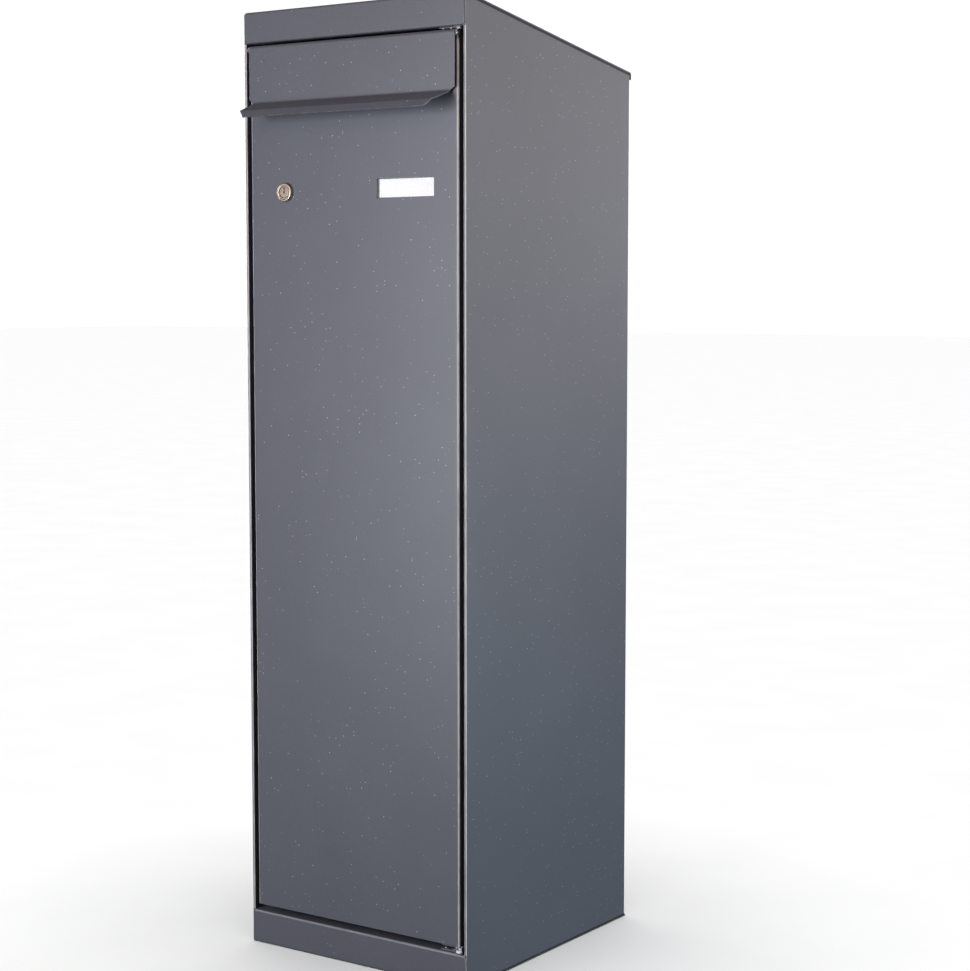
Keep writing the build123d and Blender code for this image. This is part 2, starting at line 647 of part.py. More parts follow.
# ================================================================ door
def door_panel():
    """Door tray with lipped sides, the slot, and the lock and name openings."""
    tray = folded_plan(
        [
            (-DOOR_HALF + DOOR_LIP, DOOR_REAR),
            (-DOOR_HALF, DOOR_REAR),
            (-DOOR_HALF, DOOR_FACE),
            (DOOR_HALF, DOOR_FACE),
            (DOOR_HALF, DOOR_REAR),
            (DOOR_HALF - DOOR_LIP, DOOR_REAR),
        ],
        [BEND, DOOR_BEND, DOOR_BEND, BEND],
        DOOR_SHEET,
        Side.LEFT,
        DOOR_BOTTOM,
        DOOR_TOP,
    )
    inner = DOOR_HALF - DOOR_SHEET / 2
    front, rear = DOOR_BACK_FACE - DOOR_SHEET / 2, DOOR_REAR - DOOR_END_INSET
    for z0 in (DOOR_BOTTOM, DOOR_TOP - DOOR_SHEET):
        tray += block(-inner, inner, front, rear, z0, z0 + DOOR_SHEET)
    for side in (-1, 1):
        for z, up in ((DOOR_BOTTOM, -1), (DOOR_TOP, 1)):
            tray -= corner_cutter(DOOR_SHEET, side * DOOR_HALF, z, side, up, DOOR_FACE - CUT, DOOR_BEND)
    tray -= slot_opening(0, DOOR_FACE - CUT, DOOR_BACK_FACE + TRIM_LAP)
    name_half, name_rise = NAME_WIDTH / 2, NAME_HEIGHT / 2
    tray -= block(
        NAME_X - name_half,
        NAME_X + name_half,
        DOOR_FACE - CUT,
        DOOR_BACK_FACE + CUT,
        NAME_Z - name_rise,
        NAME_Z + name_rise,
    )
    tray -= rod_y(LOCK_BODY_R, DOOR_FACE - CUT, DOOR_BACK_FACE + CUT, LOCK_X, LOCK_Z)
    for x in hinge_rivet_xs():
        tray -= rivet_hole(x, FOOT_RIVET_DEPTH, DOOR_BOTTOM, DOOR_BOTTOM + DOOR_SHEET)
        for side in (-1, 1):
            tray -= rivet_hole(side * x, BRACKET_RIVET_DEPTH, DOOR_TOP - DOOR_SHEET, DOOR_TOP)
    return tray


def slot_opening(shrink, d0, d1):
    """The slot's rounded opening, smaller by `shrink` all round."""
    width = SLOT_WIDTH - 2 * shrink
    height = SLOT_TOP - SLOT_BOTTOM - 2 * shrink
    middle = (SLOT_BOTTOM + SLOT_TOP) / 2
    body = Pos(0, back((d0 + d1) / 2), middle) * Box(width, d1 - d0, height)
    return fillet(body.edges().filter_by(Axis.Y), SLOT_CORNER_R - shrink / 2)


def slot_trim():
    """Plastic edge guard pressed over the sheet all round the slot."""
    front, rear = DOOR_FACE - TRIM_WALL / 2, DOOR_BACK_FACE + TRIM_WALL / 2
    trim = slot_opening(-TRIM_LAP, front, rear)
    trim -= slot_opening(TRIM_WALL, front - CUT, rear + CUT)
    groove = slot_opening(-TRIM_LAP - CUT, DOOR_FACE, DOOR_BACK_FACE)
    groove -= slot_opening(0, DOOR_FACE - CUT, DOOR_BACK_FACE + CUT)
    return trim - groove


def door_stiffener():
    """Upright hat channel welded inside the door."""
    return folded_plan(hat_points(), [HAT_BEND] * 4, HAT_SHEET, Side.LEFT, HAT_BOTTOM, HAT_TOP)


def hat_points():
    """Hat section as (across, depth), its feet flat on the door's inner face."""
    foot, crown, narrow = DOOR_BACK_FACE, DOOR_BACK_FACE + HAT_HEIGHT, HAT_CROWN / 2
    left = [(-HAT_WIDE, foot), (-narrow, foot), (-narrow, crown)]
    return left + [(narrow, crown), (narrow, foot), (HAT_WIDE, foot)]


def slot_rail():
    """Level hat channel that stiffens the door under the slot."""
    reach = DOOR_HALF - RAIL_SIDE_GAP
    points = [(back(d), RAIL_Z + across) for across, d in hat_points()]
    face = folded(points, [HAT_BEND] * 4, HAT_SHEET, Side.RIGHT)
    return Pos(-reach, 0, 0) * extrude(Plane.YZ * face, 2 * reach)


def flap_bracket(with_tab):
    """Right-hand bracket on the door's top: foot, rod lug and, at the hinge, the pivot tab."""
    inner = DOOR_HALF - DOOR_SHEET
    foot_top = DOOR_TOP + DOOR_SHEET
    foot_front, depth_end = CURL_OUT + FOOT_AIR, DOOR_REAR - BRACKET_INSET
    riser_front = CURL_OUT + LUG_PAST_CURL
    foot = block(PIVOT_X - HINGE_FOOT, DOOR_HALF, foot_front, depth_end, DOOR_TOP, foot_top)
    lug = block(inner, DOOR_HALF, 0, riser_front, DOOR_TOP, LUG_TOP)
    lug += rod_x(LUG_HEIGHT, inner, DOOR_HALF, 0, ROD_Z)
    lug += block(inner, DOOR_HALF, -LUG_HEIGHT, 0, ROD_Z - LUG_HEIGHT, ROD_Z)
    lug = lug - block(inner - CUT, DOOR_HALF + CUT, -CUT * 2, 0, DOOR_TOP - CUT, ROD_Z - LUG_HEIGHT)
    lug += block(inner, DOOR_HALF, foot_front, depth_end, DOOR_TOP, ROD_Z)
    bracket = foot + lug
    if with_tab:
        riser_rear = riser_front + RISER_DEPTH
        tab_left = FLAP_HALF + FLAP_END_AIR
        tab_right = PIVOT_X + TOP_PIN_R + TAB_MARGIN
        bracket += block(inner, DOOR_HALF, riser_front, riser_rear, DOOR_TOP, TAB_TOP)
        bracket += block(tab_left, tab_right, PIVOT_DEPTH, riser_rear, TAB_BOTTOM, TAB_TOP)
        eye = upright(TOP_PIN_R + TAB_EYE_WALL, TAB_BOTTOM, TAB_TOP, PIVOT_X, PIVOT_DEPTH)
        bracket += eye & block(tab_left, tab_right, -CUT, CUT, TAB_BOTTOM, TAB_TOP)
        bracket -= upright(TOP_PIN_R + RUN_GAP, TAB_BOTTOM - TOUCH, TAB_TOP + CUT, PIVOT_X, PIVOT_DEPTH)
    bracket -= rod_x(ROD_R, inner - CUT, DOOR_HALF + CUT, 0, ROD_Z)
    for x in hinge_rivet_xs():
        bracket -= rivet_hole(x, BRACKET_RIVET_DEPTH, DOOR_TOP, foot_top)
    return bracket


def lower_hinge_plate():
    """Thick plate under the door's foot, bored for the nylon bush."""
    z0 = DOOR_BOTTOM - HINGE_PLATE
    left, right = PIVOT_X - HINGE_EYE_R, PIVOT_X + HINGE_EYE_R
    plate = block(PIVOT_X - HINGE_FOOT, right, FOOT_SETBACK, HINGE_FOOT_DEPTH, z0, DOOR_BOTTOM)
    plate += block(left, right, PIVOT_DEPTH, FOOT_SETBACK, z0, DOOR_BOTTOM)
    plate += upright(HINGE_EYE_R, z0, DOOR_BOTTOM, PIVOT_X, PIVOT_DEPTH)
    plate -= upright(BUSH_R, z0 - CUT, DOOR_BOTTOM + CUT, PIVOT_X, PIVOT_DEPTH)
    for x in hinge_rivet_xs():
        plate -= rivet_hole(x, FOOT_RIVET_DEPTH, z0, DOOR_BOTTOM)
    return plate


def lower_hinge_bush():
    """Nylon bush: a thick collar under the plate and a sleeve inside it."""
    collar_bottom = PLINTH_HEIGHT + BOTTOM_PLATE + TOUCH
    collar_top = DOOR_BOTTOM - HINGE_PLATE
    bush = upright(BUSH_R + COLLAR_LIP, collar_bottom, collar_top, PIVOT_X, PIVOT_DEPTH)
    bush = fillet(bush.edges().group_by(Axis.Z)[0], BUSH_WALL / 2)
    bush += upright(BUSH_R, collar_top, DOOR_BOTTOM, PIVOT_X, PIVOT_DEPTH)
    return bush - upright(BOTTOM_PIN_R + RUN_GAP, 0, DOOR_BOTTOM + CUT, PIVOT_X, PIVOT_DEPTH)


def door_rivets():
    """Rivets of the lower hinge plate and both flap brackets."""
    rivets = []
    for x in hinge_rivet_xs():
        under, over = DOOR_BOTTOM - HINGE_PLATE, DOOR_TOP + DOOR_SHEET
        rivets.append(rivet(x, FOOT_RIVET_DEPTH, under, HINGE_PLATE + DOOR_SHEET, True))
        for side in (-1, 1):
            rivets.append(rivet(side * x, BRACKET_RIVET_DEPTH, over, DOOR_SHEET * 2, False))
    return Compound(rivets)


def flap_rod():
    """Rod that the flap turns on, held in both lugs."""
    reach = DOOR_HALF + CLIP_THICK + ROD_PAST_CLIP
    rod = rod_x(ROD_R, -reach, reach, 0, ROD_Z)
    return chamfer(rod.edges().filter_by(GeomType.CIRCLE), ROD_R / 6)


def rod_clips():
    """Push-on clips at the rod's ends."""
    clip = rod_x(CLIP_R, DOOR_HALF, DOOR_HALF + CLIP_THICK, 0, ROD_Z)
    clip -= rod_x(ROD_R, DOOR_HALF - CUT, DOOR_HALF + CUT, 0, ROD_Z)
    return Compound([clip, mirror(clip, about=Plane.YZ)])


def flap_bumpers():
    """Rubber dots on the door that the closed flap lies against."""
    x = (SLOT_WIDTH / 2 + FLAP_HALF) / 2
    dot = rod_y(BUMPER_R, DOOR_FACE - BUMPER_HEIGHT, DOOR_FACE, x, BUMPER_Z)
    dot = fillet(dot.edges().group_by(Axis.Y)[0], BUMPER_R / 4)
    return Compound([dot, mirror(dot, about=Plane.YZ)])


# ================================================================ name plate
def name_block(lap, d0, d1):
    """A block over the name opening, larger by `lap` all round."""
    half, rise = NAME_WIDTH / 2 + lap, NAME_HEIGHT / 2 + lap
    return block(NAME_X - half, NAME_X + half, d0, d1, NAME_Z - rise, NAME_Z + rise)


def nameplate_holder():
    """Plastic pocket behind the door that holds the window and the card."""
    pocket_end = DOOR_BACK_FACE + WINDOW_THICK + CARD_THICK + 3 * TOUCH
    holder = name_block(NAME_LAP + HOLDER_WALL, DOOR_BACK_FACE, pocket_end + HOLDER_WALL)
    holder = fillet(holder.edges().filter_by(Axis.Y), HOLDER_WALL)
    return holder - name_block(NAME_LAP, DOOR_BACK_FACE - CUT, pocket_end)


def nameplate_window():
    """Clear window against the back of the door sheet."""
    front = DOOR_BACK_FACE + TOUCH / 2
    return name_block(NAME_LAP - TOUCH, front, front + WINDOW_THICK)


def name_card():
    """Blank card behind the window."""
    front = DOOR_BACK_FACE + WINDOW_THICK + TOUCH
    return name_block(-CARD_MARGIN, front, front + CARD_THICK)


# ================================================================ lock
def lock_housing():
    """Fixed body of the cam lock, its flange proud of the door."""
    face = DOOR_FACE - LOCK_FLANGE
    flange = rod_y(LOCK_FLANGE_R, face, DOOR_FACE, LOCK_X, LOCK_Z)
    flange = fillet(flange.edges().group_by(Axis.Y)[0], LOCK_FLANGE / 4)
    body = flange + rod_y(LOCK_BODY_R, DOOR_FACE, LOCK_BODY_END, LOCK_X, LOCK_Z)
    body -= rod_y(PLUG_R + RUN_GAP, face - CUT, LOCK_BODY_END + CUT, LOCK_X, LOCK_Z)
    rim = rod_y(PLUG_R + LOCK_DISH, face - CUT, face + PLUG_RECESS, LOCK_X, LOCK_Z)
    return body - rim


def lock_nut():
    """Hexagon nut that clamps the lock to the door."""
    face = make_face(RegularPolygon(NUT_R, 6).edges())
    nut = extrude(face, NUT_THICK) - Pos(0, 0, NUT_THICK / 2) * Cylinder(LOCK_BODY_R, NUT_THICK * 2)
    return Pos(LOCK_X, back(DOOR_BACK_FACE), LOCK_Z) * Rot(-90, 0, 0) * nut


def cam_square(d0, d1):
    """The square that drives the cam, between two depths."""
    tail = CAM_SQUARE / 2
    return block(LOCK_X - tail, LOCK_X + tail, d0, d1, LOCK_Z - tail, LOCK_Z + tail)


def lock_plug():
    """Turning plug with its keyway, and the square tail that drives the cam."""
    face = DOOR_FACE - LOCK_FLANGE + PLUG_RECESS
    plug = rod_y(PLUG_R, face, LOCK_BODY_END, LOCK_X, LOCK_Z)
    plug = chamfer(plug.edges().group_by(Axis.Y)[0], PLUG_R / 15)
    plug += rod_y(PLUG_R - PLUG_NECK, LOCK_BODY_END, CAM_DEPTH, LOCK_X, LOCK_Z)
    plug += cam_square(CAM_DEPTH, CAM_DEPTH + CAM_THICK)
    half = KEYWAY_WIDTH / 2
    low, high = LOCK_Z - KEYWAY_DROP, LOCK_Z - KEYWAY_DROP + KEYWAY_HEIGHT
    plug -= block(LOCK_X - half, LOCK_X + half, face - CUT, face + KEYWAY_DEPTH, low, high)
    plug -= rod_y(CAM_SCREW_R, CAM_DEPTH - CUT, CAM_DEPTH + CUT, LOCK_X, LOCK_Z)
    return plug


def lock_cam():
    """Flat tongue that swings behind the left door stop."""
    end = CAM_DEPTH + CAM_THICK
    half = CAM_WIDTH / 2
    cam = rod_y(half, CAM_DEPTH, end, LOCK_X, LOCK_Z)
    left, right, low = LOCK_X - half, LOCK_X + half, LOCK_Z - CAM_REACH
    cam += block(left, right, CAM_DEPTH, end, low + half / 2, LOCK_Z)
    tip = block(left, right, CAM_DEPTH, end, low, low + half)
    cam += fillet(tip.edges().filter_by(Axis.Y).group_by(Axis.Z)[0], half / 2)
    return cam - cam_square(CAM_DEPTH - CUT, end + CUT)


def cam_washer():
    """Washer under the cam screw's head."""
    start = CAM_DEPTH + CAM_THICK
    washer = rod_y(WASHER_R, start, start + WASHER_THICK, LOCK_X, LOCK_Z)
    return washer - rod_y(CAM_SCREW_R + TOUCH / 2, start - CUT, start + CUT, LOCK_X, LOCK_Z)


def cam_screw():
    """Cross-head screw that holds the cam on the plug."""
    start = CAM_DEPTH + CAM_THICK + WASHER_THICK
    head = rod_y(SCREW_HEAD_R, start, start + SCREW_HEAD, LOCK_X, LOCK_Z)
    head = fillet(head.edges().group_by(Axis.Y)[-1], SCREW_HEAD_FILLET)
    floor = start + SCREW_HEAD - CROSS_DEPTH
    for across, up in ((CROSS_ARM, CROSS_WIDTH / 2), (CROSS_WIDTH / 2, CROSS_ARM)):
        head -= block(LOCK_X - across, LOCK_X + across, floor, start + CUT, LOCK_Z - up, LOCK_Z + up)
    return head + rod_y(CAM_SCREW_R, CAM_DEPTH - CUT, start, LOCK_X, LOCK_Z)


# ================================================================ flap
def flap_panel():
    """Slot flap: a curl round the rod, a flat front and a grip lip along the bottom."""
    flat = folded_side(
        [
            (-CURL_OUT, ROD_Z),
            (-CURL_OUT, FLAP_FOLD_Z),
            (-CURL_OUT - GRIP_OUT, FLAP_FOLD_Z - GRIP_DROP),
            (-CURL_OUT - GRIP_OUT - GRIP_LIP_OUT, FLAP_FOLD_Z - GRIP_DROP - GRIP_LIP_DROP),
        ],
        [BEND, BEND + 1],
        FLAP_SHEET,
        Side.LEFT,
        -FLAP_HALF,
        FLAP_HALF,
    )
    curl = rod_x(CURL_OUT, -FLAP_HALF, FLAP_HALF, 0, ROD_Z)
    curl -= rod_x(CURL_IN, -FLAP_HALF - CUT, FLAP_HALF + CUT, 0, ROD_Z)
    past, mouth = FLAP_HALF + CUT, ROD_Z - CURL_IN / 2
    curl -= block(-past, past, -CURL_IN, FLAP_SHEET / 2, ROD_Z - CUT * 2, mouth)
    flap = flat + curl
    low = FLAP_FOLD_Z - GRIP_DROP - GRIP_LIP_DROP - CUT
    grip_half = FLAP_HALF - GRIP_CHAMFER_X
    corner = [
        (FLAP_HALF + CUT, low),
        (FLAP_HALF + CUT, FLAP_FOLD_Z + GRIP_CHAMFER_Z),
        (FLAP_HALF, FLAP_FOLD_Z + GRIP_CHAMFER_Z),
        (grip_half, FLAP_FOLD_Z),
        (grip_half, low),
    ]
    flap -= both_sides(front_prism(corner, -CURL_OUT - CUT, CUT))
    bend_depth = -CURL_OUT - GRIP_OUT
    front = bend_depth - GRIP_OUT
    flap -= both_sides(block(grip_half, FLAP_HALF + CUT, front, -CURL_OUT, low, FLAP_FOLD_Z + CUT))
    taper = [
        (grip_half, -CURL_OUT),
        (grip_half - GRIP_TAPER, bend_depth),
        (grip_half - GRIP_TAPER - GRIP_LIP_TAPER, bend_depth - GRIP_LIP_OUT - TOUCH),
        (FLAP_HALF + CUT, bend_depth - GRIP_LIP_OUT - TOUCH),
        (FLAP_HALF + CUT, -CURL_OUT),
    ]
    return flap - both_sides(plan_prism(taper, low, FLAP_FOLD_Z + CUT))


# ================================================================ writing the files
NODES = {
    "left_side_panel": lambda: mirror(side_panel(STOP_LEFT), about=Plane.YZ),
    "right_side_panel": lambda: side_panel(STOP_RIGHT),
    "back_panel": back_panel,
    "back_rivets": back_rivets,
    "roof_cap": roof_cap,
    "roof_seal": roof_seal,
    "base_pan": base_pan,
    "base_seal": base_seal,
    "upper_pivot_plate": upper_pivot_plate,
    "upper_pivot_pin": upper_pivot_pin,
    "lower_pivot_plate": lower_pivot_plate,
    "lower_pivot_pin": lower_pivot_pin,
    "pivot_rivets": pivot_rivets,
    "door_buffers": door_buffers,
    "retrieval_guard": retrieval_guard,
    "door_panel": door_panel,
    "slot_trim": slot_trim,
    "door_stiffener": door_stiffener,
    "slot_rail": slot_rail,
    "left_flap_bracket": lambda: mirror(flap_bracket(False), about=Plane.YZ),
    "right_flap_bracket": lambda: flap_bracket(True),
    "lower_hinge_plate": lower_hinge_plate,
    "lower_hinge_bush": lower_hinge_bush,
    "door_rivets": door_rivets,
    "flap_rod": flap_rod,
    "rod_clips": rod_clips,
    "flap_bumpers": flap_bumpers,
    "nameplate_holder": nameplate_holder,
    "nameplate_window": nameplate_window,
    "name_card": name_card,
    "lock_housing": lock_housing,
    "lock_nut": lock_nut,
    "lock_plug": lock_plug,
    "lock_cam": lock_cam,
    "cam_washer": cam_washer,
    "cam_screw": cam_screw,
    "flap_panel": flap_panel,
}


def main():
    """Build every node and write one STEP file for each."""
    os.makedirs("parts", exist_ok=True)
    for name, build in NODES.items():
        export_step(build(), os.path.join("parts", name + ".step"))


if __name__ == "__main__":
    main()
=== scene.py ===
"""Finished look of the free-standing parcel and letter box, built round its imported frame.

Every piece keeps the place and size that the frame gives it. Lengths are metres, in the
frame of the model: +X to the right as the door is faced, +Y to the rear, +Z up.
"""

from __future__ import annotations

import json
import logging
import math
from dataclasses import dataclass, field
from enum import Enum
from typing import Any, Callable, Iterable, Sequence

import bmesh
import bpy
from mathutils import Matrix, Vector
from mathutils.bvhtree import BVHTree

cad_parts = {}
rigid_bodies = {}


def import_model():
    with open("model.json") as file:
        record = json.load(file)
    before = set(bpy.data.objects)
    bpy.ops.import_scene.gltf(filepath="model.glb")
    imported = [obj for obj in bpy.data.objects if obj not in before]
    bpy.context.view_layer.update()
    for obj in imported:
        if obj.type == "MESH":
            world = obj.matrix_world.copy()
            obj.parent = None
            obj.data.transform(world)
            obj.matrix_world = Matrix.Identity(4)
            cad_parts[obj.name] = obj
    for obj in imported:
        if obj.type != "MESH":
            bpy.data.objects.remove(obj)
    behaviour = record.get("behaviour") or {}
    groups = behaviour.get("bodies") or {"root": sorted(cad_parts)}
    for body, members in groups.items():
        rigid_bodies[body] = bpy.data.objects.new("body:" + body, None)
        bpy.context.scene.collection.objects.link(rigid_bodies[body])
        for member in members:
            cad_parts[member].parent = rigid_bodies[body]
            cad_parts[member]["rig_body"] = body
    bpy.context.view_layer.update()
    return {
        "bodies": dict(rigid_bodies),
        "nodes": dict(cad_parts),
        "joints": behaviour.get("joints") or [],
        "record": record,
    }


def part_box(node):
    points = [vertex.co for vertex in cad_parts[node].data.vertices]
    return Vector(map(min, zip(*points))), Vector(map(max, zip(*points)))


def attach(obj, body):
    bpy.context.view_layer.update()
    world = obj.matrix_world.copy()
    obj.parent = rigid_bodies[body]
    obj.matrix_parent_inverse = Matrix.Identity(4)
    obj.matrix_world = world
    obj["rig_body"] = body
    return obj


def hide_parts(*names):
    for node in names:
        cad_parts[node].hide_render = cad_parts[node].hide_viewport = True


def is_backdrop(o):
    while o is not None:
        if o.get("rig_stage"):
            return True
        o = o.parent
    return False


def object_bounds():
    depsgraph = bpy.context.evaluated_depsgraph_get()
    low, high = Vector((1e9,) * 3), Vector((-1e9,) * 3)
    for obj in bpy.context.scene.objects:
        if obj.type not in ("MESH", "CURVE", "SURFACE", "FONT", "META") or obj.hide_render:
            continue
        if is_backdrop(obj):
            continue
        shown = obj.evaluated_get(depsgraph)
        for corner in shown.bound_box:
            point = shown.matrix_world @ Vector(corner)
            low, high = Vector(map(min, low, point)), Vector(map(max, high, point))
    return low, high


LOG = logging.getLogger("parcel_box")
MM = 0.001

# Bends up to this far behind the front of the sides get a painted highlight, which fades over the next
# stretch.
BEND_HIGHLIGHT_DEPTH = 10.5 * MM
BEND_HIGHLIGHT_FADE = 10.0 * MM

# Rounding of frame meshes.
WELD_DISTANCE = 0.002 * MM
FLAT_TURN = math.radians(0.3)
SHARP_TURN = math.radians(40.0)
STRAY_LIMIT = 1.2  # times the radius that a rounded edge may stand off the surface
SHORT_EDGE = 4.0  # times the radius that a short edge measures at most
SPIKE_REACH = 13.0 * MM
ROUNDING_TRIES = 3

Colour = tuple[float, float, float]
Profile = Sequence[tuple[float, float]]


class Axis(Enum):
    """Direction that a turned piece points in, away from what it is fixed to."""

    UP = (0.0, 0.0, 1.0)
    DOWN = (0.0, 0.0, -1.0)
    FRONT = (0.0, -1.0, 0.0)
    REAR = (0.0, 1.0, 0.0)

    def turn(self) -> Matrix:
        """Rotation that carries +Z onto this direction."""
        return Vector((0.0, 0.0, 1.0)).rotation_difference(Vector(self.value)).to_matrix().to_4x4()


class Tint(Enum):
    """Colour of a studio lamp."""

    NEUTRAL = (1.0, 1.0, 1.0)
    WARM = (1.1, 0.95, 0.95)
    ROSY = (1.25, 0.85, 0.8)
    COOL = (0.95, 1.0, 1.1)
    COLD = (0.8, 1.0, 1.15)


# --------------------------------------------------------------------------- shader graphs
class Graph:
    """A material's node graph, with short calls for the nodes that the finishes use."""

    def __init__(self, name: str) -> None:
        """Start an empty graph that ends in one Principled shader.

        Args:
            name: Name of the new material.
        """
        self.material = bpy.data.materials.new(name)
        self.material.use_nodes = True
        self.tree = self.material.node_tree
        self.tree.nodes.clear()
        self.shader = self.tree.nodes.new("ShaderNodeBsdfPrincipled")
        output = self.tree.nodes.new("ShaderNodeOutputMaterial")
        self.link(self.shader.outputs["BSDF"], output.inputs["Surface"])
        where = self.tree.nodes.new("ShaderNodeTexCoord")
        self.place, self.facing = where.outputs["Object"], where.outputs["Normal"]

    def link(self, start: Any, end: Any) -> None:
        """Join an output socket to an input socket."""
        self.tree.links.new(start, end)

    def set(self, **values: Any) -> None:
        """Set constants on the shader's own sockets.

        Args:
            **values: Socket names, with underscores for spaces, and their values.
        """
        for key, value in values.items():
            socket = self.shader.inputs[key.replace("_", " ")]
            socket.default_value = (*value, 1.0) if isinstance(value, tuple) else value

    def stretched(self, scale: Sequence[float]) -> Any:
        """Object coordinates scaled by a different number along each axis.

        Args:
            scale: Factors along X, Y and Z.

        Returns:
            The vector output socket.
        """
        node = self.tree.nodes.new("ShaderNodeMapping")
        node.inputs["Scale"].default_value = tuple(scale)
        self.link(self.place, node.inputs["Vector"])
        return node.outputs["Vector"]

    def noise(self, scale: float, detail: float = 2.0, rough: float = 0.5, vector: Any = None) -> Any:
        """Noise whose features measure about 1 / scale metres.

        Args:
            scale: Features per metre.
            detail: Octaves.
            rough: Strength of the finer octaves.
            vector: Coordinates, or None for the object's own.

        Returns:
            The factor output socket.
        """
        node = self.tree.nodes.new("ShaderNodeTexNoise")
        node.inputs["Scale"].default_value = scale
        node.inputs["Detail"].default_value = detail
        node.inputs["Roughness"].default_value = rough
        self.link(vector or self.place, node.inputs["Vector"])
        return node.outputs["Fac"]

    def grains(self, scale: float) -> tuple[Any, Any]:
        """Cells with one random point in each.

        Args:
            scale: Cells per metre.

        Returns:
            The distance to the nearest point in cells, and a random number for each point.
        """
        node = self.tree.nodes.new("ShaderNodeTexVoronoi")
        node.inputs["Scale"].default_value = scale
        self.link(self.place, node.inputs["Vector"])
        split = self.tree.nodes.new("ShaderNodeSeparateColor")
        self.link(node.outputs["Color"], split.inputs["Color"])
        return node.outputs["Distance"], split.outputs["Red"]

    def edges(self, radius: float) -> Any:
        """How near a sharp or bent edge is, from the surface's own shape.

        Args:
            radius: Reach of the mask, in metres.

        Returns:
            A socket that is 0 on flat faces and grows over edges.
        """
        bevel = self.tree.nodes.new("ShaderNodeBevel")
        bevel.samples = 4
        bevel.inputs["Radius"].default_value = radius
        plain = self.tree.nodes.new("ShaderNodeNewGeometry")
        dot = self.tree.nodes.new("ShaderNodeVectorMath")
        dot.operation = "DOT_PRODUCT"
        self.link(bevel.outputs["Normal"], dot.inputs[0])
        self.link(plain.outputs["Normal"], dot.inputs[1])
        return self.ramp(dot.outputs["Value"], 0.80, 0.99, 1.0, 0.0)

    def bends(self) -> Any:
        """Where a sheet is bent or its edge is rounded, from the way that the surface faces.

        Returns:
            A socket that is 0 on faces square to the piece and 1 where it turns between them.
        """
        size = self.tree.nodes.new("ShaderNodeVectorMath")
        size.operation = "ABSOLUTE"
        self.link(self.facing, size.inputs[0])
        split = self.tree.nodes.new("ShaderNodeSeparateXYZ")
        self.link(size.outputs["Vector"], split.inputs["Vector"])
        across = self.math("MAXIMUM", split.outputs["X"], split.outputs["Y"])
        return self.ramp(self.math("MAXIMUM", across, split.outputs["Z"]), 0.88, 0.97, 1.0, 0.0)

    def near_front(self, limit: float, fade: float) -> Any:
        """How near the front of the box a point lies.

        Args:
            limit: Depth in metres up to which it is 1.
            fade: Length in metres over which it falls to 0.

        Returns:
            The mask socket.
        """
        split = self.tree.nodes.new("ShaderNodeSeparateXYZ")
        self.link(self.place, split.inputs["Vector"])
        return self.ramp(split.outputs["Y"], limit, limit + fade, 1.0, 0.0)

    def ramp(self, value: Any, low: float, high: float, start: float = 0.0, end: float = 1.0) -> Any:
        """Smooth step of a value from one range into another.

        Args:
            value: Socket that drives it.
            low: Input where the output is start.
            high: Input where the output is end.
            start: First output.
            end: Last output.

        Returns:
            The result socket.
        """
        node = self.tree.nodes.new("ShaderNodeMapRange")
        node.interpolation_type = "SMOOTHSTEP"
        node.inputs["From Min"].default_value = low
        node.inputs["From Max"].default_value = high
        node.inputs["To Min"].default_value = start
        node.inputs["To Max"].default_value = end
        self.link(value, node.inputs["Value"])
        return node.outputs["Result"]

    def math(self, kind: str, first: Any, second: Any) -> Any:
        """A math node on two values, each a socket or a number.

        Args:
            kind: Blender's name of the operation.
            first: First operand.
            second: Second operand.

        Returns:
            The value socket.
        """
        node = self.tree.nodes.new("ShaderNodeMath")
        node.operation = kind
        for socket, value in zip(node.inputs, (first, second)):
            if isinstance(value, (int, float)):
                socket.default_value = value
            else:
                self.link(value, socket)
        return node.outputs["Value"]

    def blend(self, factor: Any, first: Any, second: Any) -> Any:
        """Mix two colours, each a socket or a colour.

        Args:
            factor: Socket that says how much of the second shows.
            first: Colour at 0.
            second: Colour at 1.

        Returns:
            The colour socket.
        """
        node = self.tree.nodes.new("ShaderNodeMix")
        node.data_type = "RGBA"
        self.link(factor, node.inputs["Factor"])
        sockets = [s for s in node.inputs if s.type == "RGBA"]
        for socket, value in zip(sockets, (first, second)):
            if isinstance(value, tuple):
                socket.default_value = (*value, 1.0)
            else:
                self.link(value, socket)
        return [s for s in node.outputs if s.type == "RGBA"][0]

    def bump(self, height: Any, distance: float, strength: float = 1.0, under: Any = None) -> Any:
        """Relief from a height.

        Args:
            height: Height socket, 0 to 1.
            distance: Depth in metres of a height of 1.
            strength: How much of it shows.
            under: Normal of the relief below it, or None.

        Returns:
            The normal socket.
        """
        node = self.tree.nodes.new("ShaderNodeBump")
        node.inputs["Distance"].default_value = distance
        node.inputs["Strength"].default_value = strength
        self.link(height, node.inputs["Height"])
        if under is not None:
            self.link(under, node.inputs["Normal"])
        return node.outputs["Normal"]

    def feed(self, **sockets: Any) -> None:
        """Link sockets to the shader's inputs, named with underscores for spaces."""
        for key, value in sockets.items():
            self.link(value, self.shader.inputs[key.replace("_", " ")])


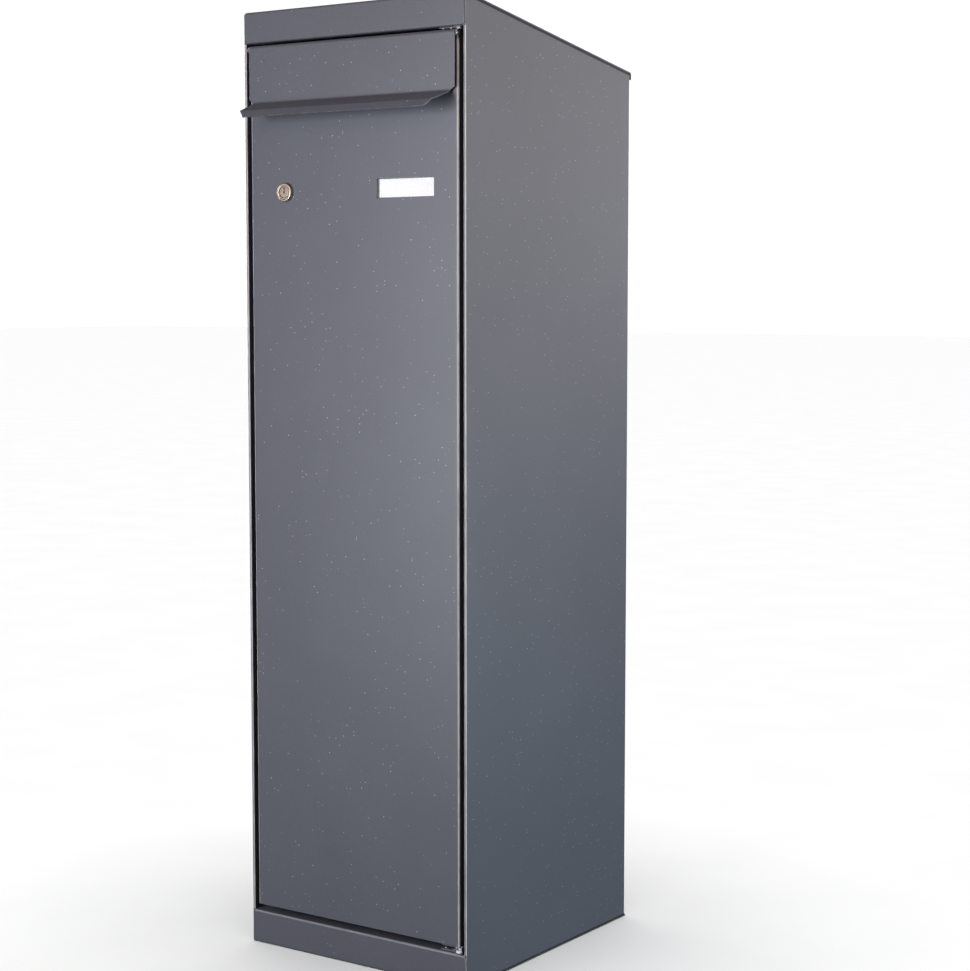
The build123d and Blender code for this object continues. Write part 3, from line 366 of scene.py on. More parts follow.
# --------------------------------------------------------------------------- finishes
@dataclass(frozen=True)
class PowderCoat:
    """Fine-textured powder coat: pale flecks with a real bump and painted glints, paler edges from wear and,
    on the flap, a painted highlight, and a painted highlight on bends near the front.
    """

    name: str
    shade: Colour
    glint_fleck: Colour = (0.55, 0.55, 0.60)
    sparse: float = 0.50
    bend: Colour | None = None
    edge_wear_and_highlight_gain: float = 1.5
    roughness: float = 0.42
    specular: float = 0.55
    texture: float = 900.0
    cells: float = 200.0
    edge_reach: float = 0.9 * MM
    peel_depth: float = 0.03 * MM
    grit_depth: float = 0.018 * MM
    grain_depth: float = 0.05 * MM

    def build(self) -> bpy.types.Material:
        """Make the material.

        Returns:
            The finished material.
        """
        g = Graph(self.name)
        light = tuple(c * 1.10 for c in self.shade)
        dark = tuple(c * 0.90 for c in self.shade)
        broad = g.ramp(g.noise(9.0, 3.0), 0.3, 0.7)
        fine = g.ramp(g.noise(self.texture, 3.0, 0.6), 0.35, 0.65)
        mottle = g.math("ADD", g.math("MULTIPLY", broad, 0.35), g.math("MULTIPLY", fine, 0.65))
        tone = g.blend(mottle, dark, light)
        # Paler edges from the bevel mask: wear where the edge factor is small, a painted highlight where it
        # is large, as on the flap.
        edge_wear_and_highlight = g.math("MULTIPLY", g.edges(self.edge_reach), g.ramp(g.noise(160.0, 4.0, 0.7), 0.42, 0.62))
        tone = g.blend(g.math("MULTIPLY", edge_wear_and_highlight, 0.6), tone, tuple(c * self.edge_wear_and_highlight_gain for c in self.shade))
        # Painted highlight: bends near the front take the pale bend colour, standing in for the light that
        # their rounding catches.
        if self.bend is not None:
            bend_highlight = g.math("MULTIPLY", g.bends(), g.ramp(g.noise(40.0, 3.0, 0.6), 0.25, 0.60, 0.7, 1.0))
            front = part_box("left_side_panel")[0].y
            bend_highlight = g.math("MULTIPLY", bend_highlight, g.near_front(front + BEND_HIGHLIGHT_DEPTH, BEND_HIGHLIGHT_FADE))
            tone = g.blend(bend_highlight, tone, self.bend)
        # Sparse pale flecks: a real bump, and painted glints in their lighter colour.
        distance, chance = g.grains(self.cells)
        spot = g.ramp(distance, 0.06, 0.14, 1.0, 0.0)
        mask = g.math("MULTIPLY", spot, g.ramp(chance, self.sparse, 1.0))
        g.feed(Base_Color=g.blend(mask, tone, self.glint_fleck))
        rough = g.math("ADD", g.math("MULTIPLY", fine, 0.10), self.roughness - 0.05)
        shiny = g.math("ADD", g.math("MULTIPLY", mask, 0.12), g.math("MULTIPLY", edge_wear_and_highlight, 0.08))
        g.feed(Roughness=g.math("SUBTRACT", rough, shiny))
        peel = g.bump(g.noise(260.0, 2.0), self.peel_depth, 0.6)
        grit = g.bump(g.noise(self.texture * 1.6, 3.0, 0.6), self.grit_depth, 0.8, peel)
        g.feed(Normal=g.bump(mask, self.grain_depth, 0.8, grit))
        g.set(Specular_IOR_Level=self.specular)
        return g.material


@dataclass(frozen=True)
class ZincSteel:
    """Zinc-plated or bright steel, with rolling lines along one axis."""

    name: str
    shade: Colour = (0.42, 0.43, 0.44)
    roughness: float = 0.38
    along: tuple[float, float, float] = (60.0, 2400.0, 2400.0)

    def build(self) -> bpy.types.Material:
        """Make the material.

        Returns:
            The finished material.
        """
        g = Graph(self.name)
        lines = g.noise(1.0, 4.0, 0.7, g.stretched(self.along))
        cloud = g.noise(140.0, 4.0, 0.6)
        dark = tuple(c * 0.72 for c in self.shade)
        g.feed(Base_Color=g.blend(g.ramp(cloud, 0.3, 0.75), self.shade, dark))
        g.feed(Roughness=g.math("ADD", g.math("MULTIPLY", lines, 0.18), self.roughness - 0.09))
        g.feed(Normal=g.bump(lines, 0.01 * MM, 0.5))
        g.set(Metallic=1.0)
        return g.material


@dataclass(frozen=True)
class SatinNickel:
    """Warm satin nickel with turning marks and a little tarnish."""

    name: str
    shade: Colour = (0.54, 0.44, 0.345)
    roughness: float = 0.34

    def build(self) -> bpy.types.Material:
        """Make the material.

        Returns:
            The finished material.
        """
        g = Graph(self.name)
        marks = g.noise(5200.0, 2.0, 0.5)
        stain = g.ramp(g.noise(520.0, 4.0, 0.6), 0.45, 0.8)
        dull = tuple(c * 0.6 for c in self.shade)
        g.feed(Base_Color=g.blend(stain, self.shade, dull))
        g.feed(Roughness=g.math("ADD", g.math("MULTIPLY", stain, 0.16), self.roughness))
        g.feed(Normal=g.bump(marks, 0.006 * MM, 0.6))
        g.set(Metallic=1.0)
        return g.material


@dataclass(frozen=True)
class Moulded:
    """Moulded plastic or rubber with a fine spark-eroded surface."""

    name: str
    shade: Colour
    roughness: float = 0.55
    texture: float = 1500.0
    depth: float = 0.02
    specular: float = 0.4

    def build(self) -> bpy.types.Material:
        """Make the material.

        Returns:
            The finished material.
        """
        g = Graph(self.name)
        fine = g.noise(self.texture, 3.0, 0.6)
        dust = g.ramp(g.noise(70.0, 4.0, 0.6), 0.5, 0.85)
        pale = tuple(min(1.0, c * 1.25 + 0.01) for c in self.shade)
        g.feed(Base_Color=g.blend(dust, self.shade, pale))
        g.feed(Roughness=g.math("ADD", g.math("MULTIPLY", fine, 0.2), self.roughness - 0.1))
        g.feed(Normal=g.bump(fine, self.depth * MM, 0.7))
        g.set(Specular_IOR_Level=self.specular)
        return g.material


@dataclass(frozen=True)
class PaperCard:
    """Plain white card with paper fibres."""

    name: str
    shade: Colour = (0.93, 0.93, 0.92)

    def build(self) -> bpy.types.Material:
        """Make the material.

        Returns:
            The finished material.
        """
        g = Graph(self.name)
        fibres = g.noise(1.0, 3.0, 0.6, g.stretched((900.0, 900.0, 2600.0)))
        grey = tuple(c * 0.965 for c in self.shade)
        g.feed(Base_Color=g.blend(g.ramp(fibres, 0.4, 0.7), self.shade, grey))
        g.feed(Roughness=g.math("ADD", g.math("MULTIPLY", fibres, 0.1), 0.75))
        g.feed(Normal=g.bump(fibres, 0.01 * MM, 0.5))
        return g.material


@dataclass(frozen=True)
class ClearAcrylic:
    """Clear acrylic window with the faintest surface ripple."""

    name: str
    roughness: float = 0.06
    opacity: float = 0.14

    def build(self) -> bpy.types.Material:
        """Make the material.

        Returns:
            The finished material.
        """
        g = Graph(self.name)
        ripple = g.noise(220.0, 2.0)
        g.feed(Roughness=g.math("ADD", g.math("MULTIPLY", ripple, 0.02), self.roughness))
        g.feed(Normal=g.bump(ripple, 0.004 * MM, 0.4))
        g.set(Base_Color=(0.95, 0.97, 0.97), Alpha=self.opacity, IOR=1.49)
        return g.material


@dataclass
class Palette:
    """The finishes that the box is made in, built once each."""

    # The third colour is the fleck colour, which paints glints over a real bump.
    shell: PowderCoat = PowderCoat("shell_powder_coat", (0.088, 0.090, 0.104), (0.42, 0.42, 0.46), 0.88)
    # The bend colours of jamb, plinth and leaf are painted highlights on the bent front edges.
    jamb: PowderCoat = PowderCoat(
        "jamb_powder_coat", (0.088, 0.090, 0.104), (0.42, 0.42, 0.46), 0.88, bend=(0.62, 0.60, 0.57)
    )
    plinth: PowderCoat = PowderCoat(
        "plinth_powder_coat", (0.088, 0.090, 0.104), (0.42, 0.42, 0.46), 0.80, bend=(0.20, 0.20, 0.21)
    )
    leaf: PowderCoat = PowderCoat("door_powder_coat", (0.088, 0.091, 0.106), bend=(0.62, 0.60, 0.57))
    # The flap's edge factor of 6.0 paints a highlight along its edges.
    flap: PowderCoat = PowderCoat("flap_powder_coat", (0.088, 0.090, 0.104), edge_wear_and_highlight_gain=6.0)
    zinc: ZincSteel = ZincSteel("zinc_plate")
    bright: ZincSteel = ZincSteel("bright_steel", (0.46, 0.46, 0.46), 0.30, (2400.0, 2400.0, 60.0))
    rivet: ZincSteel = ZincSteel("rivet_steel", (0.60, 0.60, 0.61), 0.3, (900.0, 900.0, 900.0))
    nickel: SatinNickel = SatinNickel("satin_nickel")
    rubber: Moulded = Moulded("black_rubber", (0.012, 0.012, 0.013), 0.62, 1100.0, 0.03)
    plastic: Moulded = Moulded("black_plastic", (0.018, 0.018, 0.020), 0.45)
    nylon: Moulded = Moulded("white_nylon", (0.82, 0.82, 0.79), 0.5, 1300.0, 0.015)
    card: PaperCard = PaperCard("white_card")
    acrylic: ClearAcrylic = ClearAcrylic("clear_acrylic")
    _made: dict[str, bpy.types.Material] = field(default_factory=dict)

    def get(self, finish: Any) -> bpy.types.Material:
        """The material of a finish, made the first time that it is asked for.

        Args:
            finish: One of this palette's finishes.

        Returns:
            Its material.
        """
        if finish.name not in self._made:
            self._made[finish.name] = finish.build()
        return self._made[finish.name]


# --------------------------------------------------------------------------- mesh tools
def new_piece(name: str, mesh: bpy.types.Mesh, material: bpy.types.Material) -> bpy.types.Object:
    """Put a mesh in the scene as a piece with one material.

    Args:
        name: Name of the piece.
        mesh: Its mesh, in the model's frame.
        material: Its only material.

    Returns:
        The new object.
    """
    mesh.materials.clear()
    mesh.materials.append(material)
    piece = bpy.data.objects.new(name, mesh)
    bpy.context.scene.collection.objects.link(piece)
    level = piece.modifiers.new("even_normals", "WEIGHTED_NORMAL")
    level.weight = 100
    level.keep_sharp = True
    return piece


def smooth(mesh: bpy.types.Mesh, degrees: float = 32.0) -> None:
    """Shade a mesh smooth, except over edges that turn by more than an angle."""
    mesh.shade_smooth()
    mesh.set_sharp_from_angle(angle=math.radians(degrees))


def islands(mesh: bpy.types.Mesh) -> list[tuple[Vector, Vector]]:
    """Boxes of the separate solids in a mesh.

    Args:
        mesh: Mesh whose solids don't share vertices.

    Returns:
        The lowest and highest corner of each, ordered by height and then across.
    """
    bm = bmesh.new()
    bm.from_mesh(mesh)
    bmesh.ops.remove_doubles(bm, verts=bm.verts, dist=WELD_DISTANCE)
    boxes, seen = [], set()
    for start in bm.verts:
        if start in seen:
            continue
        stack, low, high = [start], start.co.copy(), start.co.copy()
        seen.add(start)
        while stack:
            vert = stack.pop()
            low = Vector(map(min, low, vert.co))
            high = Vector(map(max, high, vert.co))
            for edge in vert.link_edges:
                other = edge.other_vert(vert)
                if other not in seen:
                    seen.add(other)
                    stack.append(other)
        boxes.append((low, high))
    bm.free()
    return sorted(boxes, key=lambda b: (round(b[0].z, 4), round(b[0].x, 4)))


def near_spike(edge: bmesh.types.BMEdge, spikes: Sequence[Vector], radius: float) -> bool:
    """Whether a short edge lies close enough to a spike to have caused it.

    Args:
        edge: Edge that would be rounded.
        spikes: Places where a first rounding left the surface.
        radius: Radius of the rounding, in metres.

    Returns:
        True if the edge should stay sharp.
    """
    if edge.calc_length() > SHORT_EDGE * radius:
        return False
    middle = (edge.verts[0].co + edge.verts[1].co) / 2
    return any((middle - spike).length < SPIKE_REACH for spike in spikes)


def rounded(flat: bmesh.types.BMesh, radius: float, segments: int) -> bmesh.types.BMesh:
    """Copy of a mesh with its sharp edges rounded and nothing standing off its surface.

    Args:
        flat: The mesh with sharp edges.
        radius: Radius of the rounding, in metres.
        segments: Facets across each rounding.

    Returns:
        The rounded copy.
    """
    surface = BVHTree.FromBMesh(flat)
    spikes: list[Vector] = []
    for _ in range(ROUNDING_TRIES):
        soft = flat.copy()
        sharp = [e for e in soft.edges if len(e.link_faces) == 2 and e.calc_face_angle(0.0) > SHARP_TURN]
        bmesh.ops.bevel(
            soft,
            geom=[e for e in sharp if not near_spike(e, spikes, radius)],
            offset=radius,
            offset_type="OFFSET",
            segments=segments,
            profile=0.5,
            affect="EDGES",
            clamp_overlap=False,
            miter_outer="ARC",
            loop_slide=False,
        )
        stray = [v.co.copy() for v in soft.verts if surface.find_nearest(v.co)[3] > STRAY_LIMIT * radius]
        if not stray:
            return soft
        spikes += stray
        soft.free()
    return flat.copy()


def softened_mesh(source: bpy.types.Mesh, radius: float, segments: int = 2) -> bpy.types.Mesh:
    """Copy of a frame mesh with flat areas joined and its sharp edges rounded.

    Args:
        source: Mesh of a frame node.
        radius: Radius of the rounding, in metres.
        segments: Facets across each rounding.

    Returns:
        The new mesh.
    """
    flat = bmesh.new()
    flat.from_mesh(source)
    bmesh.ops.remove_doubles(flat, verts=flat.verts, dist=WELD_DISTANCE)
    bmesh.ops.dissolve_limit(
        flat, angle_limit=FLAT_TURN, verts=flat.verts[:], edges=flat.edges[:], use_dissolve_boundaries=False
    )
    soft = rounded(flat, radius, segments) if radius > 0 else flat.copy()
    mesh = bpy.data.meshes.new("softened")
    soft.to_mesh(mesh)
    flat.free()
    soft.free()
    if "custom_normal" in mesh.attributes:
        mesh.attributes.remove(mesh.attributes["custom_normal"])
    smooth(mesh)
    return mesh


@dataclass
class Workshop:
    """What every sub-assembly needs: the frame and the palette."""

    frame: dict[str, Any]
    palette: Palette
    count: int = 0

    def mount(self, piece: bpy.types.Object, node: str, slot: str) -> bpy.types.Object:
        """Let a piece stand for a frame node: same body, hidden node.

        Args:
            piece: The new piece.
            node: Node that it stands for.
            slot: Not used.

        Returns:
            The piece.
        """
        body = self.frame["nodes"][node]["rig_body"]
        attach(piece, body)
        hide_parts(node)
        self.count += 1
        LOG.info("piece %s for %s on %s", piece.name, node, body)
        return piece

    def add(self, piece: bpy.types.Object, body: str, slot: str) -> bpy.types.Object:
        """Add a piece that the frame has no node for.

        Args:
            piece: The new piece.
            body: Body that it rides on.
            slot: Not used.

        Returns:
            The piece.
        """
        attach(piece, body)
        self.count += 1
        LOG.info("piece %s on %s", piece.name, body)
        return piece

    def soften(self, node: str, finish: Any, radius: float, slot: str) -> bpy.types.Object:
        """Replace a node by its own shape with rounded edges.

        Args:
            node: Node to stand for.
            finish: Finish from the palette.
            radius: Radius of the rounding, in metres.
            slot: Not used.

        Returns:
            The piece.
        """
        mesh = softened_mesh(self.frame["nodes"][node].data, radius)
        piece = new_piece(node + "_finished", mesh, self.palette.get(finish))
        return self.mount(piece, node, slot)


def lathe(bm: bmesh.types.BMesh, profile: Profile, place: Matrix, around: int = 48) -> None:
    """Turn a profile round the local Z axis into a bmesh.

    Args:
        bm: Mesh that receives it.
        profile: (radius, height) pairs in metres; a radius of 0 closes an end.
        place: Transform of the turned piece.
        around: Facets round the axis.
    """
    rings = []
    for radius, height in profile:
        if radius == 0:
            rings.append([bm.verts.new(place @ Vector((0.0, 0.0, height)))])
            continue
        ring = []
        for i in range(around):
            turn = 2 * math.pi * i / around
            point = Vector((radius * math.cos(turn), radius * math.sin(turn), height))
            ring.append(bm.verts.new(place @ point))
        rings.append(ring)
    for lower, upper in zip(rings, rings[1:]):
        for i in range(around):
            j = (i + 1) % around
            under = [lower[i % len(lower)], lower[j % len(lower)]]
            over = [upper[j % len(upper)], upper[i % len(upper)]]
            bm.faces.new(list(dict.fromkeys(under + over)))


def turned(
    name: str, parts: Iterable[tuple[Profile, Matrix]], material: bpy.types.Material, around: int = 48
) -> bpy.types.Object:
    """One piece made of turned solids.

    Args:
        name: Name of the piece.
        parts: Profile and place of each solid.
        material: Material of them all.
        around: Facets round each axis.

    Returns:
        The new object.
    """
    bm = bmesh.new()
    for profile, place in parts:
        lathe(bm, profile, place, around)
    bmesh.ops.recalc_face_normals(bm, faces=bm.faces)
    mesh = bpy.data.meshes.new(name)
    bm.to_mesh(mesh)
    bm.free()
    smooth(mesh, 38.0)
    return new_piece(name, mesh, material)


def arc(
    radius: float, height: float, bend: float, start: float, end: float, steps: int = 5
) -> list[tuple[float, float]]:
    """Points of a rounded corner in a turned profile.

    Args:
        radius: Radius at the arc's centre.
        height: Height of the arc's centre.
        bend: Radius of the arc.
        start: First angle in degrees from the outward direction.
        end: Last angle in degrees.
        steps: Segments.

    Returns:
        (radius, height) pairs.
    """
    points = []
    for i in range(steps + 1):
        angle = math.radians(start + (end - start) * i / steps)
        points.append((max(radius + bend * math.cos(angle), 0.0), height + bend * math.sin(angle)))
    return points


# --------------------------------------------------------------------------- sub-assemblies
@dataclass
class Rivets:
    """Blind rivets: a domed head with its mandrel hole, or a countersunk one."""

    head: float = 3.0 * MM
    rise: float = 1.0 * MM
    hole: float = 0.8 * MM

    def domed(self) -> list[tuple[float, float]]:
        """Profile of a head whose underside is at height 0.

        Returns:
            (radius, height) pairs from the rim to the bottom of the mandrel hole.
        """
        rim = [(0.0, 0.0), (self.head, 0.0), (self.head, self.rise * 0.25)]
        dome = []
        for i in range(1, 7):
            turn = math.radians(75.0 * i / 6)
            across = self.head * math.cos(turn)
            dome.append((max(across, self.hole * 1.4), self.rise * (0.25 + 0.75 * math.sin(turn))))
        crater = [(self.hole, self.rise * 0.9), (self.hole * 0.9, self.rise * 0.45), (0.0, self.rise * 0.42)]
        return rim + dome + crater

    def shank(self, length: float, bulb: float) -> list[tuple[float, float]]:
        """Profile of the shank and its bulb, running up from height 0.

        Args:
            length: Grip of the rivet.
            bulb: Radius of the blind bulb.

        Returns:
            (radius, height) pairs.
        """
        radius = bulb * 0.67
        end = length + self.rise
        crown = arc(bulb - 0.4 * MM, end - 0.4 * MM, 0.4 * MM, 0.0, 90.0)
        return [(0.0, 0.0), (radius, 0.0), (radius, length), (bulb, length)] + crown + [(0.0, end)]

    def fit(self, shop: Workshop, node: str, head_up: Callable[[Vector], bool], slot: str) -> None:
        """Replace a node of upright rivets.

        Args:
            shop: The workshop.
            node: Node whose solids are the rivets.
            head_up: Whether the head of the rivet at a place is at its top.
            slot: Not used.
        """
        parts = []
        for low, high in islands(shop.frame["nodes"][node].data):
            middle = (low + high) / 2
            up = head_up(middle)
            seat = high.z - self.rise if up else low.z + self.rise
            facing = Axis.UP if up else Axis.DOWN
            place = Matrix.Translation((middle.x, middle.y, seat)) @ facing.turn()
            parts.append((self.domed(), place))
            grip = high.z - low.z - 2 * self.rise
            away = Axis.DOWN if up else Axis.UP
            behind = Matrix.Translation((middle.x, middle.y, seat)) @ away.turn()
            parts.append((self.shank(grip, self.head * 0.8), behind))
        shop.mount(turned(node + "_finished", parts, shop.palette.get(shop.palette.rivet), 32), node, slot)


@dataclass
class Housing:
    """Sides, back, roof, base and what is fixed to them."""

    shop: Workshop
    edge: float = 0.28 * MM
    sheets: tuple[str, ...] = ("back_panel", "roof_cap", "retrieval_guard")
    sides: tuple[str, ...] = ("left_side_panel", "right_side_panel")
    rivet_sink: float = 1.2 * MM
    rivet_grip: float = 1.2 * MM
    rivet_cup: float = 0.35 * MM
    rivet_rim: float = 0.12 * MM

    def build(self) -> None:
        """Make every piece of the housing."""
        shop, palette = self.shop, self.shop.palette
        for node in self.sheets:
            shop.soften(node, palette.shell, self.edge, "housing_paint")
        for node in self.sides:
            shop.soften(node, palette.jamb, self.edge, "housing_paint")
        shop.soften("base_pan", palette.plinth, self.edge, "housing_paint")
        for node in ("roof_seal", "base_seal", "door_buffers"):
            shop.soften(node, palette.rubber, 0.3 * MM, "seal_rubber")
        for node in ("upper_pivot_plate", "lower_pivot_plate"):
            shop.soften(node, palette.shell, 0.15 * MM, "housing_paint")
        for node in ("upper_pivot_pin", "lower_pivot_pin"):
            shop.soften(node, palette.bright, 0.0, "pin_steel")
        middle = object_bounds()[1][2] / 2
        Rivets().fit(shop, "pivot_rivets", lambda at: at.z < middle, "rivet_steel")
        self.rear_rivets()

    def rear_rivets(self) -> None:
        """Countersunk rivets along both rear flanges."""
        parts = []
        for low, high in islands(self.shop.frame["nodes"]["back_rivets"].data):
            middle = (low + high) / 2
            radius = (high.x - low.x) / 2
            place = Matrix.Translation((middle.x, high.y, middle.z)) @ Axis.REAR.turn()
            rim = self.rivet_rim
            head = [(0.0, -self.rivet_sink), (radius * 0.55, -self.rivet_sink)]
            head += [(radius - rim / 4, -rim), (radius - rim, 0.0)]
            head += [(radius * 0.45, 0.0), (radius * 0.3, -self.rivet_cup), (0.0, -self.rivet_cup)]
            parts.append((head, place))
            bulb = Rivets().shank(self.rivet_grip, radius * 0.8)
            seat = Matrix.Translation((middle.x, high.y - self.rivet_sink, middle.z)) @ Axis.FRONT.turn()
            parts.append((bulb, seat))
        palette = self.shop.palette
        piece = turned("back_rivets_finished", parts, palette.get(palette.rivet), 32)
        self.shop.mount(piece, "back_rivets", "rivet_steel")


@dataclass
class DoorLeaf:
    """Door tray, its channels, hinge parts and edge guard."""

    shop: Workshop
    edge: float = 0.3 * MM
    weld_radius: float = 2.4 * MM
    weld_pitch: float = 68.0 * MM
    foot: float = 5.0 * MM
    sheet: float = 1.0 * MM

    def build(self) -> None:
        """Make every piece of the door leaf."""
        shop, palette = self.shop, self.shop.palette
        shop.soften("door_panel", palette.leaf, self.edge, "door_paint")
        for node in ("door_stiffener", "slot_rail"):
            shop.soften(node, palette.leaf, 0.2 * MM, "door_paint")
        for node in ("left_flap_bracket", "right_flap_bracket", "lower_hinge_plate"):
            shop.soften(node, palette.leaf, 0.2 * MM, "door_paint")
        shop.soften("lower_hinge_bush", palette.nylon, 0.12 * MM, "white_nylon")
        shop.soften("slot_trim", palette.plastic, 0.25 * MM, "black_plastic")
        shop.soften("flap_bumpers", palette.rubber, 0.0, "seal_rubber")
        low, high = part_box("door_panel")
        middle = (low.z + high.z) / 2
        Rivets().fit(shop, "door_rivets", lambda at: at.z > middle, "rivet_steel")
        self.weld_marks()

    def weld_marks(self) -> None:
        """Shallow spot-weld dimples along the feet of both channels."""
        parts = []
        radius = self.weld_radius
        mark = [(radius, 0.0), (radius * 0.82, 0.14 * MM), (radius * 0.6, 0.16 * MM)]
        mark += [(radius * 0.4, 0.06 * MM), (0.0, 0.03 * MM)]
        foot, sheet = self.foot, self.sheet
        low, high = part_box("door_stiffener")
        steps = int((high.z - low.z) / self.weld_pitch)
        for x in (low.x + foot, high.x - foot):
            for i in range(steps + 1):
                z = low.z + foot * 2 + (high.z - low.z - foot * 4) * i / steps
                place = Matrix.Translation((x, low.y + sheet, z)) @ Axis.REAR.turn()
                parts.append((mark, place))
        low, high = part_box("slot_rail")
        steps = int((high.x - low.x) / self.weld_pitch)
        for z in (low.z + foot, high.z - foot):
            for i in range(steps + 1):
                x = low.x + foot * 2 + (high.x - low.x - foot * 4) * i / steps
                place = Matrix.Translation((x, low.y + sheet, z)) @ Axis.REAR.turn()
                parts.append((mark, place))
        palette = self.shop.palette
        piece = turned("channel_weld_marks", parts, palette.get(palette.leaf), 24)
        self.shop.add(piece, "door", "door_paint")


@dataclass
class SlotFlap:
    """The flap with its rod and clips."""

    shop: Workshop
    edge: float = 0.45 * MM

    def build(self) -> None:
        """Make the flap, its rod and the rod's clips."""
        shop, palette = self.shop, self.shop.palette
        shop.soften("flap_panel", palette.flap, self.edge, "flap_paint")
        shop.soften("flap_rod", palette.bright, 0.0, "pin_steel")
        shop.soften("rod_clips", palette.bright, 0.1 * MM, "pin_steel")


@dataclass
class NamePlate:
    """Pocket, window and card of the name plate."""

    shop: Workshop

    def build(self) -> None:
        """Make the three pieces of the name plate."""
        shop, palette = self.shop, self.shop.palette
        shop.soften("nameplate_holder", palette.plastic, 0.25 * MM, "black_plastic")
        shop.soften("nameplate_window", palette.acrylic, 0.2 * MM, "clear_window")
        shop.soften("name_card", palette.card, 0.08 * MM, "white_card")


@dataclass
class CamLock:
    """Cam lock: turned body, plug, nut, cam and its screw."""

    shop: Workshop
    step: float = 0.55 * MM
    thread_pitch: float = 1.0 * MM
    thread_depth: float = 0.35 * MM
    flange: float = 4.1 * MM
    barrel: float = 8.0 * MM
    bore: float = 6.08 * MM

    def build(self) -> None:
        """Make every piece of the lock."""
        shop, palette = self.shop, self.shop.palette
        self.body()
        shop.soften("lock_plug", palette.nickel, 0.12 * MM, "lock_nickel")
        shop.soften("lock_nut", palette.zinc, 0.3 * MM, "zinc_steel")
        shop.soften("lock_cam", palette.zinc, 0.2 * MM, "zinc_steel")
        shop.soften("cam_washer", palette.zinc, 0.1 * MM, "zinc_steel")
        shop.soften("cam_screw", palette.bright, 0.1 * MM, "pin_steel")

    def body(self) -> None:
        """Turned lock body: stepped rim, deep bore and a threaded barrel."""
        low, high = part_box("lock_housing")
        middle = (low + high) / 2
        rim = (high.x - low.x) / 2
        length = high.y - low.y
        flange, barrel, bore = self.flange, self.barrel, self.bore
        root = barrel - self.thread_depth
        place = Matrix.Translation((middle.x, low.y, middle.z)) @ Axis.REAR.turn()
        face = [(bore, length), (bore, 0.6 * MM), (bore + 0.25 * MM, 0.35 * MM)]
        face += [(bore + 1.3 * MM, 0.35 * MM), (bore + 1.6 * MM, 0.05 * MM), (bore + 2.0 * MM, 0.0)]
        face += arc(rim - self.step * 2, self.step * 2, self.step * 2, -90.0, 0.0, 6)
        back = [(rim, flange - 0.2 * MM), (rim - 0.2 * MM, flange), (root, flange)]
        thread = []
        turns = int((length - flange - 1.5 * MM) / self.thread_pitch)
        for i in range(turns):
            start = flange + 0.6 * MM + i * self.thread_pitch
            thread += [(root, start), (barrel, start + self.thread_pitch * 0.45)]
            thread += [(barrel, start + self.thread_pitch * 0.55)]
        end = [(root, length - 0.4 * MM), (barrel - 0.7 * MM, length), (bore, length)]
        palette = self.shop.palette
        parts = [(face + back + thread + end, place)]
        piece = turned("lock_body_turned", parts, palette.get(palette.nickel), 64)
        self.shop.mount(piece, "lock_housing", "lock_nickel")


# --------------------------------------------------------------------------- stage
@dataclass
class Softbox:
    """A rectangular studio light that the camera doesn't see."""

    name: str
    place: tuple[float, float, float]
    aim: tuple[float, float, float]
    width: float
    height: float
    power: float
    tint: Tint = Tint.NEUTRAL

    def build(self) -> bpy.types.Object:
        """Put the light in the scene.

        Returns:
            The light object.
        """
        data = bpy.data.lights.new(self.name, "AREA")
        data.shape = "RECTANGLE"
        data.size = self.width
        data.size_y = self.height
        data.energy = self.power
        data.color = self.tint.value
        light = bpy.data.objects.new(self.name, data)
        light.location = self.place
        look = Vector(self.aim) - Vector(self.place)
        light.rotation_euler = look.to_track_quat("-Z", "Y").to_euler()
        light.visible_camera = False
        bpy.context.scene.collection.objects.link(light)
        return light


